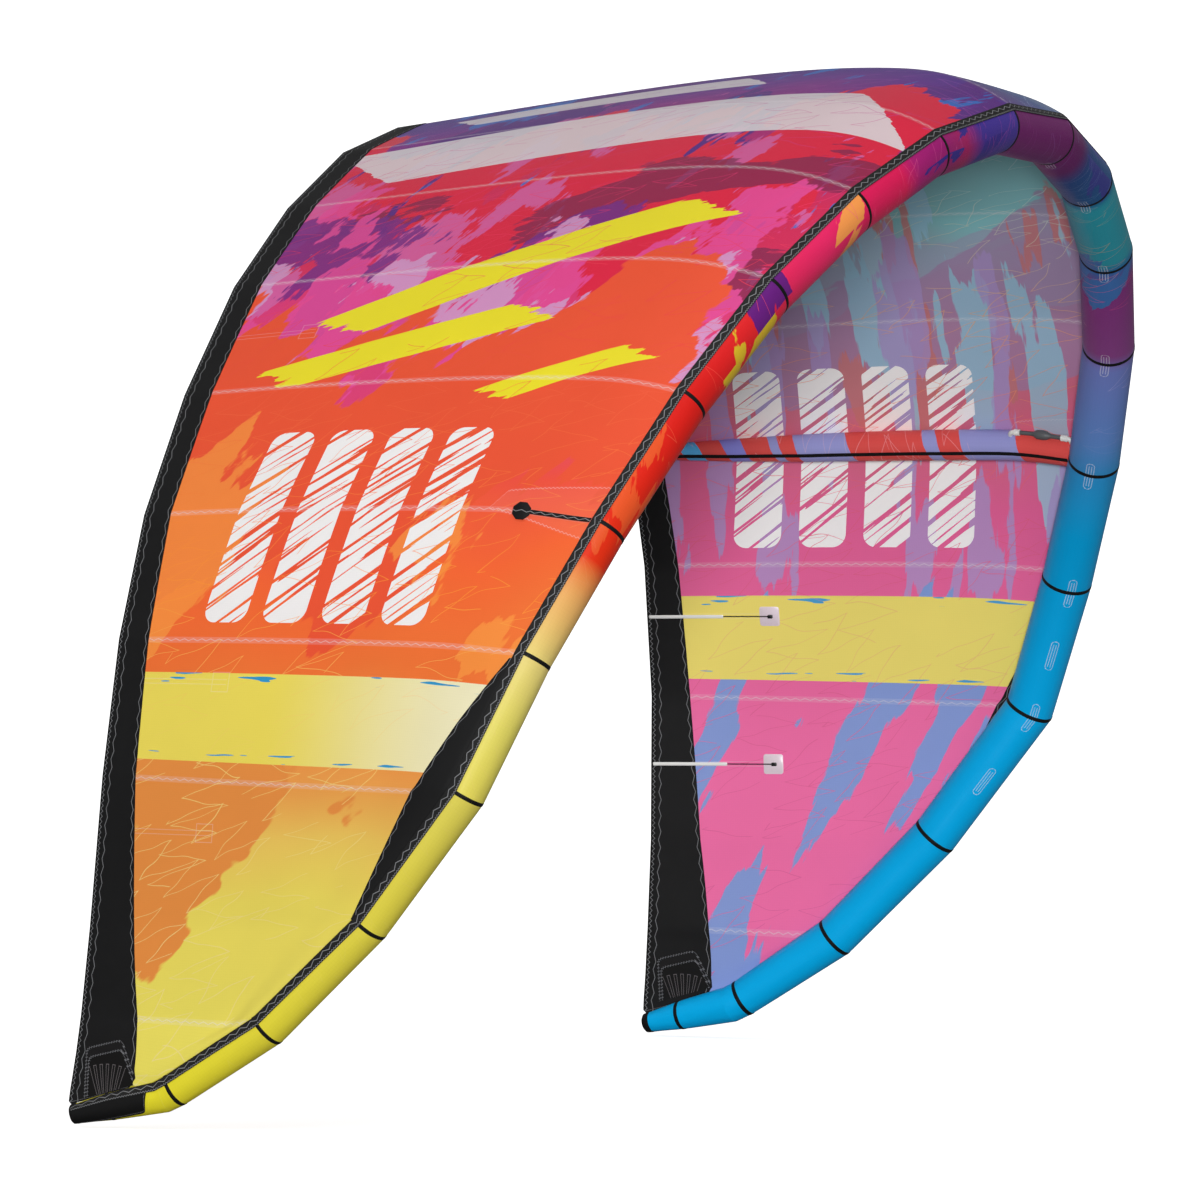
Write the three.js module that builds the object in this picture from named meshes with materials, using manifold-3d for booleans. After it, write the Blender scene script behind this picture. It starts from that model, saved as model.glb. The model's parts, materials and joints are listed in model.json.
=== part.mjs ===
import * as THREE from 'three';
import { mergeVertices } from 'three/addons/utils/BufferGeometryUtils.js';
import Module from 'manifold-3d';

// A three-strut leading-edge-inflatable kite, blown up, as it hangs in the air.
// Millimetres, +Z up, leading edge facing -Y, wing span along X.
// The origin is the foremost point of the leading edge tube at the centre.

const wasm = await Module();
wasm.setup();

// One row for each rib of the right wing, from the centre to the tip: axis of
// the leading edge tube, its radius, and the trailing edge point.
const ribs = [
  { name: 'centre', axis: [0, 70, 0], radius: 70, trailing: [0, 1710, -37] },
  { name: 'a', axis: [413, 91, -49], radius: 70, trailing: [369, 1704, -83] },
  { name: 'b', axis: [799, 144, -178], radius: 70, trailing: [727, 1707, -209] },
  { name: 'c', axis: [1144, 227, -374], radius: 69, trailing: [1056, 1714, -392] },
  { name: 'd', axis: [1430, 335, -636], radius: 67, trailing: [1355, 1723, -650] },
  { name: 'strut', axis: [1649, 464, -945], radius: 66, trailing: [1595, 1732, -941] },
  { name: 'f', axis: [1801, 601, -1263], radius: 65, trailing: [1727, 1745, -1248] },
  { name: 'g', axis: [1892, 741, -1601], radius: 63, trailing: [1805, 1757, -1588] },
  { name: 'h', axis: [1884, 1001, -1936], radius: 59, trailing: [1843, 1775, -1963] },
  { name: 'i', axis: [1878, 1277, -2204], radius: 55, trailing: [1862, 1792, -2191] },
  { name: 'j', axis: [1871, 1530, -2367], radius: 48, trailing: [1872, 1801, -2283] },
  { name: 'k', axis: [1868, 1566, -2385], radius: 47, trailing: [1876, 1804, -2311] },
  { name: 'l', axis: [1875, 1704, -2416], radius: 37, trailing: [1884, 1812, -2376] },
  { name: 'tip', axis: [1885, 1803, -2439], radius: 24, trailing: [1888, 1815, -2408] }
];

// The cloth at each rib. camber: greatest height over the chord as a share of it.
// rise: height the profile gains behind the tube. rear: fullness of its rear part.
// strip: angle round the tube at which the closing strip starts. slide: distance
// of the panel seam from the ring seam along the strip. band: width of the
// trailing edge band.
const cloth = [
  { rib: 'centre', camber: 0.091, rise: 85, rear: 0.4, strip: 34, slide: 0, band: 78 },
  { rib: 'a', camber: 0.084, rise: 70, rear: 0.36, strip: 40, slide: 0, band: 82 },
  { rib: 'b', camber: 0.079, rise: 50, rear: 0.36, strip: 47, slide: 3, band: 82 },
  { rib: 'c', camber: 0.075, rise: 42, rear: 0.38, strip: 52, slide: 8, band: 80 },
  { rib: 'd', camber: 0.069, rise: 40, rear: 0.55, strip: 57, slide: 9, band: 82 },
  { rib: 'strut', camber: 0.073, rise: 14, rear: 0.6, strip: 63, slide: 10, band: 80 },
  { rib: 'f', camber: 0.063, rise: 12, rear: 0.5, strip: 68, slide: 10, band: 88 },
  { rib: 'g', camber: 0.06, rise: 10, rear: 0.5, strip: 74, slide: 18, band: 100 },
  { rib: 'h', camber: 0.058, rise: 8, rear: 0.5, strip: 82, slide: 20, band: 130 },
  { rib: 'i', camber: 0.05, rise: 6, rear: 0.5, strip: 95, slide: 22, band: 163 },
  { rib: 'j', camber: 0, rise: 0, rear: 0, strip: 108, slide: 0, band: 176 },
  { rib: 'k', camber: 0, rise: 0, rear: 0, strip: 109, slide: 0, band: 180 },
  { rib: 'l', camber: 0, rise: 0, rear: 0, strip: 112, slide: 0, band: 150 },
  { rib: 'tip', camber: 0, rise: 0, rear: 0, strip: 115, slide: 0, band: 100 }
];
ribs.forEach((rib, index) => Object.assign(rib, cloth[index]));
const strutRib = ribs.findIndex((rib) => rib.name === 'strut');
const wedgeTop = ribs.findIndex((rib) => rib.name === 'f');
const tipStart = ribs.findIndex((rib) => rib.name === 'i');
const tipRib = ribs.length - 1;

const clothThickness = 1.5;      // canopy, bands and patches
const seamGap = 0.4;             // between pieces that are sewn together
const skinGap = 0.6;             // between the tube and the cloth laid on it
const stripWidth = 25;           // closing strip along the leading edge
const tubeSides = 24;
const camberAt = 0.21;           // place of the greatest camber on the chord

// Width of the black reinforcement behind the leading edge, by rib.
const wedge = [
  { place: 6, width: 0 }, { place: 6.17, width: 21 }, { place: 6.33, width: 39 }, { place: 6.5, width: 57 },
  { place: 6.67, width: 70 }, { place: 6.83, width: 82 }, { place: 7, width: 92 }, { place: 8, width: 0 }
];

// Radius of a strut by the share of its length from the front.
const strutRadii = [
  { share: 0, radius: 39 }, { share: 0.3, radius: 40 }, { share: 0.47, radius: 38.5 }, { share: 0.63, radius: 36 },
  { share: 0.79, radius: 29.5 }, { share: 0.91, radius: 22.5 }, { share: 1, radius: 18 }
];
const strut = { sides: 20, endInset: 34, gap: 2, lean: 11, leanEnd: 0.8 };
const batten = { width: 11, thickness: 3, patch: 52, patchThickness: 1.2 };
const battens = [                // places along the right and left wing, in ribs from the centre
  { name: 'upper', right: 3.5, left: 3.5, length: 296 },
  { name: 'middle', right: 6.39, left: 6.3, length: 320 },
  { name: 'lower', right: 7.47, left: 7.36, length: 320 }
];
const strap = { length: 165, width: 12, padRadius: 26 };

// Inflation hose on a side strut. start, bulb and end: shares of the strut's
// length. flank: degrees round the strut. seat: how far it settles on the strut.
const hose = {
  radius: 5.5, bulbRadius: 12.7, clampRadius: 9,
  start: 0.128, bulb: 0.075, end: 0.02, flank: -15, seat: 0.3
};
const tipRound = { length: 7, share: 0.7 };   // rounded end of the tube

// Rows of the cover on the wing tip, as places along the wing at its upper and
// lower edge, and the angle round the tube of its lower edge.
const tipCover = [
  { upper: 11.17, lower: 11.46 }, { upper: 11.5, lower: 11.7 }, { upper: 12, lower: 12 },
  { upper: 12.5, lower: 12.5 }, { upper: 12.98, lower: 12.98 }
];
const tipCoverAngle = 18;

const colours = {
  orange: 0xf4622c, yellow: 0xf2e04a, purple: 0x5c2a7e, magenta: 0xb8246a,
  red: 0xe8283c, blue: 0x0a9fe0, navy: 0x23407c, black: 0x141414, white: 0xe8e8e6, grey: 0x5a5c5e
};

const degrees = (angle) => angle * Math.PI / 180;
const mix = (from, to, share) => from + (to - from) * share;
const clamp = (value, low, high) => Math.min(high, Math.max(low, value));

function material(colour, roughness = 0.6) {
  return new THREE.MeshStandardMaterial({ color: colour, roughness, metalness: 0 });
}

function leadingPoint(rib) {
  return new THREE.Vector3(...rib.axis);
}

function trailingPoint(rib) {
  return new THREE.Vector3(...rib.trailing);
}

// Direction of the tube's axis at a rib, halfway between its two segments; at
// the centre it is square to the plane of symmetry.
function axisAt(index) {
  if (index === 0) return new THREE.Vector3(1, 0, 0);
  const here = leadingPoint(ribs[index]);
  const before = here.clone().sub(leadingPoint(ribs[index - 1])).normalize();
  if (index === tipRib) return before;
  const after = leadingPoint(ribs[index + 1]).sub(here).normalize();
  return before.add(after).normalize();
}

// Outward direction of the wing's arc at a rib, seen from the front.
function outwardAt(index) {
  if (index === 0) return new THREE.Vector3(0, 0, 1);
  if (index >= wedgeTop + 1) return new THREE.Vector3(1, 0, 0.02).normalize();
  const inner = ribs[index - 1];
  const outer = ribs[index + 1];
  const slope = new THREE.Vector2(outer.axis[0] - inner.axis[0], outer.axis[2] - inner.axis[2]).normalize();
  return new THREE.Vector3(-slope.y, 0, slope.x);
}

// Frame of one rib: centre of the tube, forward and outward directions in the
// plane of the ring, chord line, and the normal of the canopy.
function ribFrame(index) {
  const rib = ribs[index];
  const centre = leadingPoint(rib);
  const axis = axisAt(index);
  const chord = trailingPoint(rib).sub(centre);
  const forward = chord.clone().negate();
  forward.addScaledVector(axis, -forward.dot(axis)).normalize();
  const outward = new THREE.Vector3().crossVectors(forward, axis).normalize();
  if (outward.dot(outwardAt(index)) < 0) outward.negate();
  const along = chord.clone().normalize();
  const normal = outwardAt(index);
  normal.addScaledVector(along, -normal.dot(along)).normalize();
  return { rib, centre, axis, forward, outward, along, normal, chord: chord.length() };
}
const frames = ribs.map((rib, index) => ribFrame(index));

// Point of the tube's surface at an angle from the forward direction.
function ringPoint(frame, angle, lift = 0) {
  const reach = frame.rib.radius + lift;
  return frame.centre.clone()
    .addScaledVector(frame.forward, reach * Math.cos(angle))
    .addScaledVector(frame.outward, reach * Math.sin(angle));
}

// Line on the tube along which the canopy starts, behind the closing strip.
const stripEnd = frames.map((frame) => {
  const angle = degrees(frame.rib.strip) + (stripWidth + seamGap) / frame.rib.radius;
  return ringPoint(frame, angle, skinGap + clothThickness / 2);
});
const stripLength = [0];
for (let i = 1; i <= tipRib; i++) {
  stripLength.push(stripLength[i - 1] + stripEnd[i].distanceTo(stripEnd[i - 1]));
}
const seamAt = ribs.map((rib, index) => stripLength[index] + rib.slide);

function stripPoint(distance) {
  let i = 1;
  while (i < tipRib && stripLength[i] < distance) i++;
  const share = (distance - stripLength[i - 1]) / (stripLength[i] - stripLength[i - 1]);
  return stripEnd[i - 1].clone().lerp(stripEnd[i], Math.min(share, 1));
}

// Place of a corner of the strip, which lies a little before the seam of its rib.
function cornerPlace(index) {
  const before = seamAt[index - 1];
  return index - 1 + (stripLength[index] - before) / (seamAt[index] - before);
}

// The profile of a rib leaves the strip, rises to the greatest camber and runs
// down to the trailing edge: two cubic curves. At the wing tip it is almost straight.
function ribCurve(frame, index) {
  const { rib, chord, along, normal } = frame;
  const start = stripPoint(seamAt[index]);
  const end = trailingPoint(rib);
  if (rib.camber === 0) {
    const bulge = 0.015 * start.distanceTo(end);
    const heights = [[0.1, 0.5], [0.2, 0.9], [0.3, 1], [0.5, 1.2], [0.8, 0.6]];
    const points = heights.map(([share, height]) => {
      return start.clone().lerp(end, share).addScaledVector(normal, height * bulge);
    });
    return [start, ...points, end];
  }
  const height = rib.camber * chord;
  const crest = frame.centre.clone()
    .addScaledVector(along, camberAt * chord)
    .addScaledVector(normal, height);
  const ahead = start.distanceTo(crest);
  const behind = end.distanceTo(crest);
  return [
    start,
    start.clone().addScaledVector(along, 0.33 * ahead).addScaledVector(normal, rib.rise),
    crest.clone().addScaledVector(along, -0.4 * ahead),
    crest,
    crest.clone().addScaledVector(along, 0.25 * behind),
    end.clone().addScaledVector(along, -0.32 * behind).addScaledVector(normal, rib.rear * height),
    end
  ];
}
const curves = frames.map(ribCurve);

// The canopy is ruled from rib to rib. A place on it is the rib number, with a
// fraction between ribs, and the distance from the strip in millimetres.
function sampledRib(place, steps = 48) {
  const first = Math.min(Math.floor(place), tipRib - 1);
  const share = place - first;
  const controls = curves[first].map((point, k) => point.clone().lerp(curves[first + 1][k], share));
  const onStrip = stripPoint(mix(seamAt[first], seamAt[first + 1], share));
  controls[1].add(onStrip).sub(controls[0]);
  controls[0].copy(onStrip);
  const front = new THREE.CubicBezierCurve3(...controls.slice(0, 4));
  const rear = new THREE.CubicBezierCurve3(...controls.slice(3));
  const points = front.getPoints(steps).concat(rear.getPoints(steps).slice(1));
  const lengths = [0];
  for (let i = 1; i < points.length; i++) {
    lengths.push(lengths[i - 1] + points[i].distanceTo(points[i - 1]));
  }
  return { points, lengths, length: lengths[lengths.length - 1] };
}

const sampledCache = new Map();
function ribLine(place) {
  if (!sampledCache.has(place)) sampledCache.set(place, sampledRib(place));
  return sampledCache.get(place);
}

function canopyPoint(place, distance) {
  const { points, lengths } = ribLine(place);
  let i = 1;
  while (i < lengths.length - 1 && lengths[i] < distance) i++;
  const share = (distance - lengths[i - 1]) / (lengths[i] - lengths[i - 1]);
  return points[i - 1].clone().lerp(points[i], share);
}

function bandWidthAt(place) {
  const first = Math.min(Math.floor(place), tipRib - 1);
  return mix(ribs[first].band, ribs[first + 1].band, place - first);
}

// Distance from the strip at which the trailing edge band starts.
function bandStart(place) {
  return Math.max(ribLine(place).length - bandWidthAt(place), 0);
}

// Distance kept from the strip: more at the wing tip, where the cloth leaves
// the tube at an angle.
function frontGap(place) {
  return mix(seamGap / 2, 3, clamp((place - 7.5) / 2.5, 0, 1));
}

// Width of the black wedge, straight between the rows of its table.
function wedgeEdge(place) {
  if (place <= wedge[0].place || place >= wedge[wedge.length - 1].place) return 0;
  const next = wedge.findIndex((row) => row.place > place);
  const share = (place - wedge[next - 1].place) / (wedge[next].place - wedge[next - 1].place);
  return mix(wedge[next - 1].width, wedge[next].width, share);
}

// Outward normal of the canopy at a place, from its two tangents.
function canopyNormal(place, distance, low, high) {
  const step = 0.02;
  const from = clamp(place - step, low, high - step);
  const reach = Math.max(ribLine(place).length - 3, 1);
  const near = clamp(distance, 0, reach);
  const spanwise = canopyPoint(from + step, near).sub(canopyPoint(from, near));
  const chordwise = canopyPoint(place, near + 2).sub(canopyPoint(place, near));
  return new THREE.Vector3().crossVectors(spanwise, chordwise).normalize();
}

// Rows of a sheet, with one more at each corner of the strip that it meets.
function withCorners(places) {
  const last = places[places.length - 1];
  const corners = ribs.map((rib, index) => (rib.slide > 0 ? cornerPlace(index) : 0));
  const inside = corners.filter((place) => place > places[0] && place < last);
  return places.concat(inside).sort((one, other) => one - other);
}

// Closed sheet from a grid of points and the normals at them.
function sheetSolid(points, normals, thickness, lift = 0) {
  const rows = points.length;
  const columns = points[0].length;
  const positions = [];
  const faces = [];
  for (const side of [1, -1]) {
    for (let i = 0; i < rows; i++) {
      for (let j = 0; j < columns; j++) {
        const p = points[i][j].clone().addScaledVector(normals[i][j], lift + side * thickness / 2);
        positions.push(p.x, p.y, p.z);
      }
    }
  }
  const vertex = (i, j, under) => under * rows * columns + i * columns + j;
  const last = columns - 1;
  const end = rows - 1;
  const quad = (a, b, c, d) => faces.push(a, b, c, a, c, d);
  for (let i = 0; i + 1 < rows; i++) {
    for (let j = 0; j + 1 < columns; j++) {
      quad(vertex(i, j, 0), vertex(i, j + 1, 0), vertex(i + 1, j + 1, 0), vertex(i + 1, j, 0));
      quad(vertex(i, j, 1), vertex(i + 1, j, 1), vertex(i + 1, j + 1, 1), vertex(i, j + 1, 1));
    }
  }
  for (let i = 0; i + 1 < rows; i++) {
    quad(vertex(i, 0, 0), vertex(i + 1, 0, 0), vertex(i + 1, 0, 1), vertex(i, 0, 1));
    quad(vertex(i + 1, last, 0), vertex(i, last, 0), vertex(i, last, 1), vertex(i + 1, last, 1));
  }
  for (let j = 0; j + 1 < columns; j++) {
    quad(vertex(0, j + 1, 0), vertex(0, j, 0), vertex(0, j, 1), vertex(0, j + 1, 1));
    quad(vertex(end, j, 0), vertex(end, j + 1, 0), vertex(end, j + 1, 1), vertex(end, j, 1));
  }
  return closedGeometry(positions, faces);
}

// Geometry with its faces turned outward.
function closedGeometry(positions, faces) {
  let volume = 0;
  const corner = (i) => new THREE.Vector3().fromArray(positions, 3 * i);
  for (let i = 0; i < faces.length; i += 3) {
    volume += corner(faces[i]).dot(corner(faces[i + 1]).cross(corner(faces[i + 2])));
  }
  const turned = volume > 0 ? faces : faces.slice().reverse();
  const geometry = new THREE.BufferGeometry();
  geometry.setAttribute('position', new THREE.Float32BufferAttribute(positions, 3));
  geometry.setIndex(turned);
  return geometry;
}

// Piece of the canopy between two ribs and two distances from the strip.
function canopySheet({ places, start, end, columns }) {
  const points = [];
  const normals = [];
  const inset = places[0] > wedgeTop ? 0.0028 : 0.0008;
  const from = places[0];
  const to = places[places.length - 1];
  for (const listed of places) {
    const place = clamp(listed, from === 0 ? 0.0005 : from + inset, to - inset);
    const low = start(place) > 0 ? start(place) + seamGap / 2 : frontGap(place);
    const high = Math.max(end(place) - seamGap / 2, low + 1);
    const row = [];
    const rowNormals = [];
    for (let j = 0; j < columns; j++) {
      const distance = mix(low, high, (j / (columns - 1)) ** 1.25);
      row.push(canopyPoint(place, distance));
      rowNormals.push(canopyNormal(place, distance, 0, tipRib));
    }
    points.push(row);
    normals.push(rowNormals);
  }
  return sheetSolid(points, normals, clothThickness);
}

// Solid lofted through closed loops of points, with flat ends.
function loftSolid(loops) {
  const sides = loops[0].length;
  const positions = [];
  const faces = [];
  for (const loop of loops) for (const p of loop) positions.push(p.x, p.y, p.z);
  for (let k = 0; k + 1 < loops.length; k++) {
    for (let i = 0; i < sides; i++) {
      const next = (i + 1) % sides;
      const a = k * sides + i;
      const b = k * sides + next;
      faces.push(a, b, b + sides, a, b + sides, a + sides);
    }
  }
  const last = (loops.length - 1) * sides;
  for (let i = 1; i + 1 < sides; i++) {
    faces.push(0, i + 1, i);
    faces.push(last, last + i, last + i + 1);
  }
  return closedGeometry(positions, faces);
}

function ringLoop(index, shift, lift = 0) {
  const frame = frames[index];
  const loop = [];
  for (let i = 0; i < tubeSides; i++) {
    const p = ringPoint(frame, 2 * Math.PI * i / tubeSides, lift);
    loop.push(p.addScaledVector(frame.axis, shift));
  }
  return loop;
}

// One length of the leading edge tube; its ends lie in the planes of the ring seams.
function tubeSegment(from, to, lift = 0) {
  const loops = [];
  for (let index = from; index <= to; index++) {
    const shift = index === from ? seamGap / 2 : index === to && to < tipRib ? -seamGap / 2 : 0;
    loops.push(ringLoop(index, shift, lift));
  }
  if (to === tipRib) {
    loops.push(ringLoop(tipRib, tipRound.length, (tipRound.share - 1) * ribs[tipRib].radius));
  }
  return loftSolid(loops);
}

// Cloth laid on the tube between two angles, along part of the wing.
function tubeWrap(wrapRows, lowAngle, highAngle, steps) {
  const points = [];
  const normals = [];
  for (const wrapRow of wrapRows) {
    const row = [];
    const rowNormals = [];
    for (let j = 0; j <= steps; j++) {
      const place = mix(wrapRow.lower, wrapRow.upper, j / steps);
      const first = Math.min(Math.floor(place), tipRib - 1);
      const share = place - first;
      const low = mix(lowAngle(first), lowAngle(first + 1), share);
      const high = mix(highAngle(first), highAngle(first + 1), share);
      const angle = mix(low, high, j / steps);
      const [near, far] = [frames[first], frames[first + 1]];
      const inner = ringPoint(near, angle).lerp(ringPoint(far, angle), share);
      const outer = ringPoint(near, angle, 10).lerp(ringPoint(far, angle, 10), share);
      const normal = outer.sub(inner).normalize();
      row.push(inner.addScaledVector(normal, skinGap + clothThickness / 2));
      rowNormals.push(normal);
    }
    points.push(row);
    normals.push(rowNormals);
  }
  return { points, normals };
}

function toManifold(geometry) {
  const bare = geometry.clone();
  bare.deleteAttribute('normal');
  bare.deleteAttribute('uv');
  const merged = mergeVertices(bare, 1e-4);
  const vertProperties = new Float32Array(merged.attributes.position.array);
  const triVerts = new Uint32Array(merged.index.array);
  return new wasm.Manifold(new wasm.Mesh({ numProp: 3, vertProperties, triVerts }));
}

function fromManifold(solid) {
  const { vertProperties, triVerts, numProp } = solid.getMesh();
  const positions = [];
  for (let i = 0; i < vertProperties.length; i += numProp) {
    positions.push(vertProperties[i], vertProperties[i + 1], vertProperties[i + 2]);
  }
  return closedGeometry(positions, Array.from(triVerts));
}

// Mirror image of a geometry across the plane of symmetry.
function mirrored(geometry) {
  const positions = Array.from(geometry.attributes.position.array);
  for (let i = 0; i < positions.length; i += 3) positions[i] = -positions[i];
  return closedGeometry(positions, Array.from(geometry.index.array));
}

function strutRadius(share) {
  const next = Math.max(strutRadii.findIndex((row) => row.share >= share), 1);
  const [before, after] = strutRadii.slice(next - 1, next + 1);
  return mix(before.radius, after.radius, (share - before.share) / (after.share - before.share));
}

// Distance by which a side strut leans toward the centre of the wing.
function strutLean(place, share) {
  return place === 0 ? 0 : strut.lean * Math.max(1 - share / strut.leanEnd, 0);
}

// A strut hangs under the profile of its rib and is cut to the tube it meets.
function strutSolid(place) {
  const length = ribLine(place).length;
  const frame = frames[place];
  const side = new THREE.Vector3().crossVectors(frame.along, frame.normal).normalize();
  const towardCentre = side.x > 0 ? side.clone().negate() : side;
  const loops = [];
  const first = 40;
  const last = length - strut.endInset;
  const count = 15;
  for (let k = 0; k <= count; k++) {
    const share = k / count;
    const distance = mix(first, last, share);
    const radius = k === count ? 0.55 * strutRadius(1) : strutRadius(share);
    const tangent = canopyPoint(place, distance + 1).sub(canopyPoint(place, distance - 1)).normalize();
    const normal = new THREE.Vector3().crossVectors(side, tangent).normalize();
    const drop = strutRadius(share) + clothThickness / 2 + strut.gap;
    const centre = canopyPoint(place, distance)
      .addScaledVector(normal, -drop)
      .addScaledVector(towardCentre, strutLean(place, share));
    const loop = [];
    for (let i = 0; i < strut.sides; i++) {
      const angle = 2 * Math.PI * i / strut.sides;
      loop.push(centre.clone()
        .addScaledVector(side, radius * Math.cos(angle))
        .addScaledVector(normal, radius * Math.sin(angle)));
    }
    loops.push(loop);
  }
  let solid = toManifold(loftSolid(loops));
  const cutters = [toManifold(fullTube(place, skinGap))];
  if (place === 0) cutters.push(toManifold(mirrored(fullTube(0, skinGap))));
  for (const cutter of cutters) solid = solid.subtract(cutter);
  return fromManifold(solid);
}

// The tube near a rib without its seams, a little fatter, for cutting.
function fullTube(place, lift) {
  const loops = [];
  for (let index = Math.max(place - 1, 0); index <= place + 1; index++) {
    loops.push(ringLoop(index, 0, lift));
  }
  return loftSolid(loops);
}

// Flat piece on the inner or outer face of the canopy, set square to a rib line.
function patchOnCanopy(place, middle, outline, thickness, lift) {
  const centre = canopyPoint(place, middle);
  const aft = canopyPoint(place, middle + 5).sub(canopyPoint(place, middle - 5)).normalize();
  const up = canopyNormal(place, middle, Math.floor(place), Math.floor(place) + 1);
  const side = new THREE.Vector3().crossVectors(up, aft).normalize();
  const loops = [-1, 1].map((end) => outline.map(([along, across]) => centre.clone()
    .addScaledVector(aft, along)
    .addScaledVector(side, across)
    .addScaledVector(up, lift + end * thickness / 2)));
  return loftSolid(loops);
}

// Batten pocket on the inner face: a slim rod from the band to a square patch.
function battenSolid(place, reach) {
  const length = ribLine(place).length;
  const inner = -(clothThickness / 2 + skinGap + batten.thickness / 2);
  const points = [];
  const normals = [];
  const count = 6;
  const share = (batten.width / 2) / spanAt(place);
  for (let i = 0; i < 2; i++) {
    const here = place + (i === 0 ? -share : share);
    const row = [];
    const rowNormals = [];
    for (let j = 0; j <= count; j++) {
      const distance = mix(length - reach, length - 6, j / count);
      row.push(canopyPoint(here, distance));
      rowNormals.push(canopyNormal(place, distance, Math.floor(place), Math.floor(place) + 1));
    }
    points.push(row);
    normals.push(rowNormals);
  }
  const rod = sheetSolid(points, normals, batten.thickness, inner);
  const half = batten.patch / 2;
  const square = [[-half, -half], [half, -half], [half, half], [-half, half]];
  const patchLift = -(clothThickness / 2 + skinGap + batten.patchThickness / 2);
  const patch = patchOnCanopy(place, length - reach, square, batten.patchThickness, patchLift);
  return fromManifold(toManifold(rod).add(toManifold(patch)));
}

function spanAt(place) {
  const first = Math.floor(place);
  return canopyPoint(first + 1, 300).distanceTo(canopyPoint(first, 300));
}

// Strap from the closing strip to an eight-sided pad, on the outer face at the strut.
function strapSolid() {
  const lift = clothThickness / 2 + skinGap + clothThickness / 2;
  const points = [];
  const normals = [];
  const half = (strap.width / 2) / spanAt(strutRib);
  const count = 6;
  for (let i = 0; i < 3; i++) {
    const here = strutRib + (i - 1) * half;
    const row = [];
    const rowNormals = [];
    for (let j = 0; j <= count; j++) {
      const distance = mix(3, strap.length, j / count);
      row.push(canopyPoint(here, distance));
      rowNormals.push(canopyNormal(strutRib, distance, strutRib - 0.5, strutRib + 0.5));
    }
    points.push(row);
    normals.push(rowNormals);
  }
  const band = sheetSolid(points, normals, clothThickness, lift);
  const pad = [];
  for (let i = 0; i < 8; i++) {
    const angle = 2 * Math.PI * (i + 0.5) / 8;
    pad.push([strap.padRadius * Math.cos(angle), strap.padRadius * Math.sin(angle)]);
  }
  const centre = canopyPoint(strutRib, strap.length + strap.padRadius * 0.8);
  const aft = canopyPoint(strutRib, strap.length + 30).sub(canopyPoint(strutRib, strap.length)).normalize();
  const up = canopyNormal(strutRib, strap.length, strutRib - 0.5, strutRib + 0.5);
  const side = new THREE.Vector3().crossVectors(up, aft).normalize();
  const heights = [lift - clothThickness / 2 + 0.4, lift + clothThickness / 2 + 0.4];
  const loops = heights.map((height) => pad.map(([along, across]) => centre.clone()
    .addScaledVector(aft, along)
    .addScaledVector(side, across)
    .addScaledVector(up, height)));
  return fromManifold(toManifold(band).add(toManifold(loftSolid(loops))));
}

// Inflation hose along the upper flank of a side strut: clamp, bulb and elbow.
function hoseSolid() {
  const length = ribLine(strutRib).length;
  const frame = frames[strutRib];
  const side = new THREE.Vector3().crossVectors(frame.along, frame.normal).normalize();
  const towardCentre = side.x > 0 ? side.clone().negate() : side;
  const stations = [
    { at: hose.start + 0.012, radius: hose.clampRadius }, { at: hose.start, radius: hose.clampRadius },
    { at: hose.start - 0.002, radius: hose.radius }, { at: hose.bulb + 0.022, radius: hose.radius },
    { at: hose.bulb + 0.012, radius: hose.bulbRadius }, { at: hose.bulb - 0.008, radius: hose.bulbRadius },
    { at: hose.bulb - 0.018, radius: hose.radius }, { at: hose.end + 0.014, radius: hose.radius },
    { at: hose.end + 0.013, radius: hose.clampRadius }, { at: hose.end, radius: hose.clampRadius }
  ];
  const loops = stations.map(({ at, radius }) => {
    const distance = 40 + at * length;
    const tangent = canopyPoint(strutRib, distance + 1).sub(canopyPoint(strutRib, distance - 1)).normalize();
    const normal = new THREE.Vector3().crossVectors(side, tangent).normalize();
    const strutDrop = strutRadius(0.1) + clothThickness / 2 + strut.gap;
    const reach = strutRadius(0.1) + hose.bulbRadius - hose.seat;
    const centre = canopyPoint(strutRib, distance)
      .addScaledVector(normal, -strutDrop + reach * Math.sin(degrees(hose.flank)))
      .addScaledVector(towardCentre, strutLean(strutRib, at) + reach * Math.cos(degrees(hose.flank)));
    const loop = [];
    for (let i = 0; i < 10; i++) {
      const angle = 2 * Math.PI * i / 10;
      loop.push(centre.clone()
        .addScaledVector(side, radius * Math.cos(angle))
        .addScaledVector(normal, radius * Math.sin(angle)));
    }
    return loop;
  });
  return loftSolid(loops);
}

const kite = new THREE.Group();

function addPiece(name, geometry, colour, roughness) {
  const mesh = new THREE.Mesh(geometry, material(colour, roughness));
  mesh.name = name;
  kite.add(mesh);
}

// Adds a piece of the right wing and its mirror image on the left.
function addPair(name, geometry, rightColour, leftColour, roughness) {
  addPiece(`${name}_right`, geometry, rightColour, roughness);
  addPiece(`${name}_left`, mirrored(geometry), leftColour, roughness);
}

function addLeadingEdge() {
  for (let index = 0; index < ribs.findIndex((rib) => rib.name === 'j'); index++) {
    const right = index < 3 ? colours.purple : colours.blue;
    const left = index < 3 ? colours.magenta : index < 6 ? colours.red : colours.yellow;
    addPair(`tube_${index + 1}`, tubeSegment(index, index + 1), right, left, 0.45);
  }
  const first = ribs.findIndex((rib) => rib.name === 'j');
  addPair('tube_tip', tubeSegment(first, tipRib), colours.blue, colours.yellow, 0.45);
}

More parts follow.
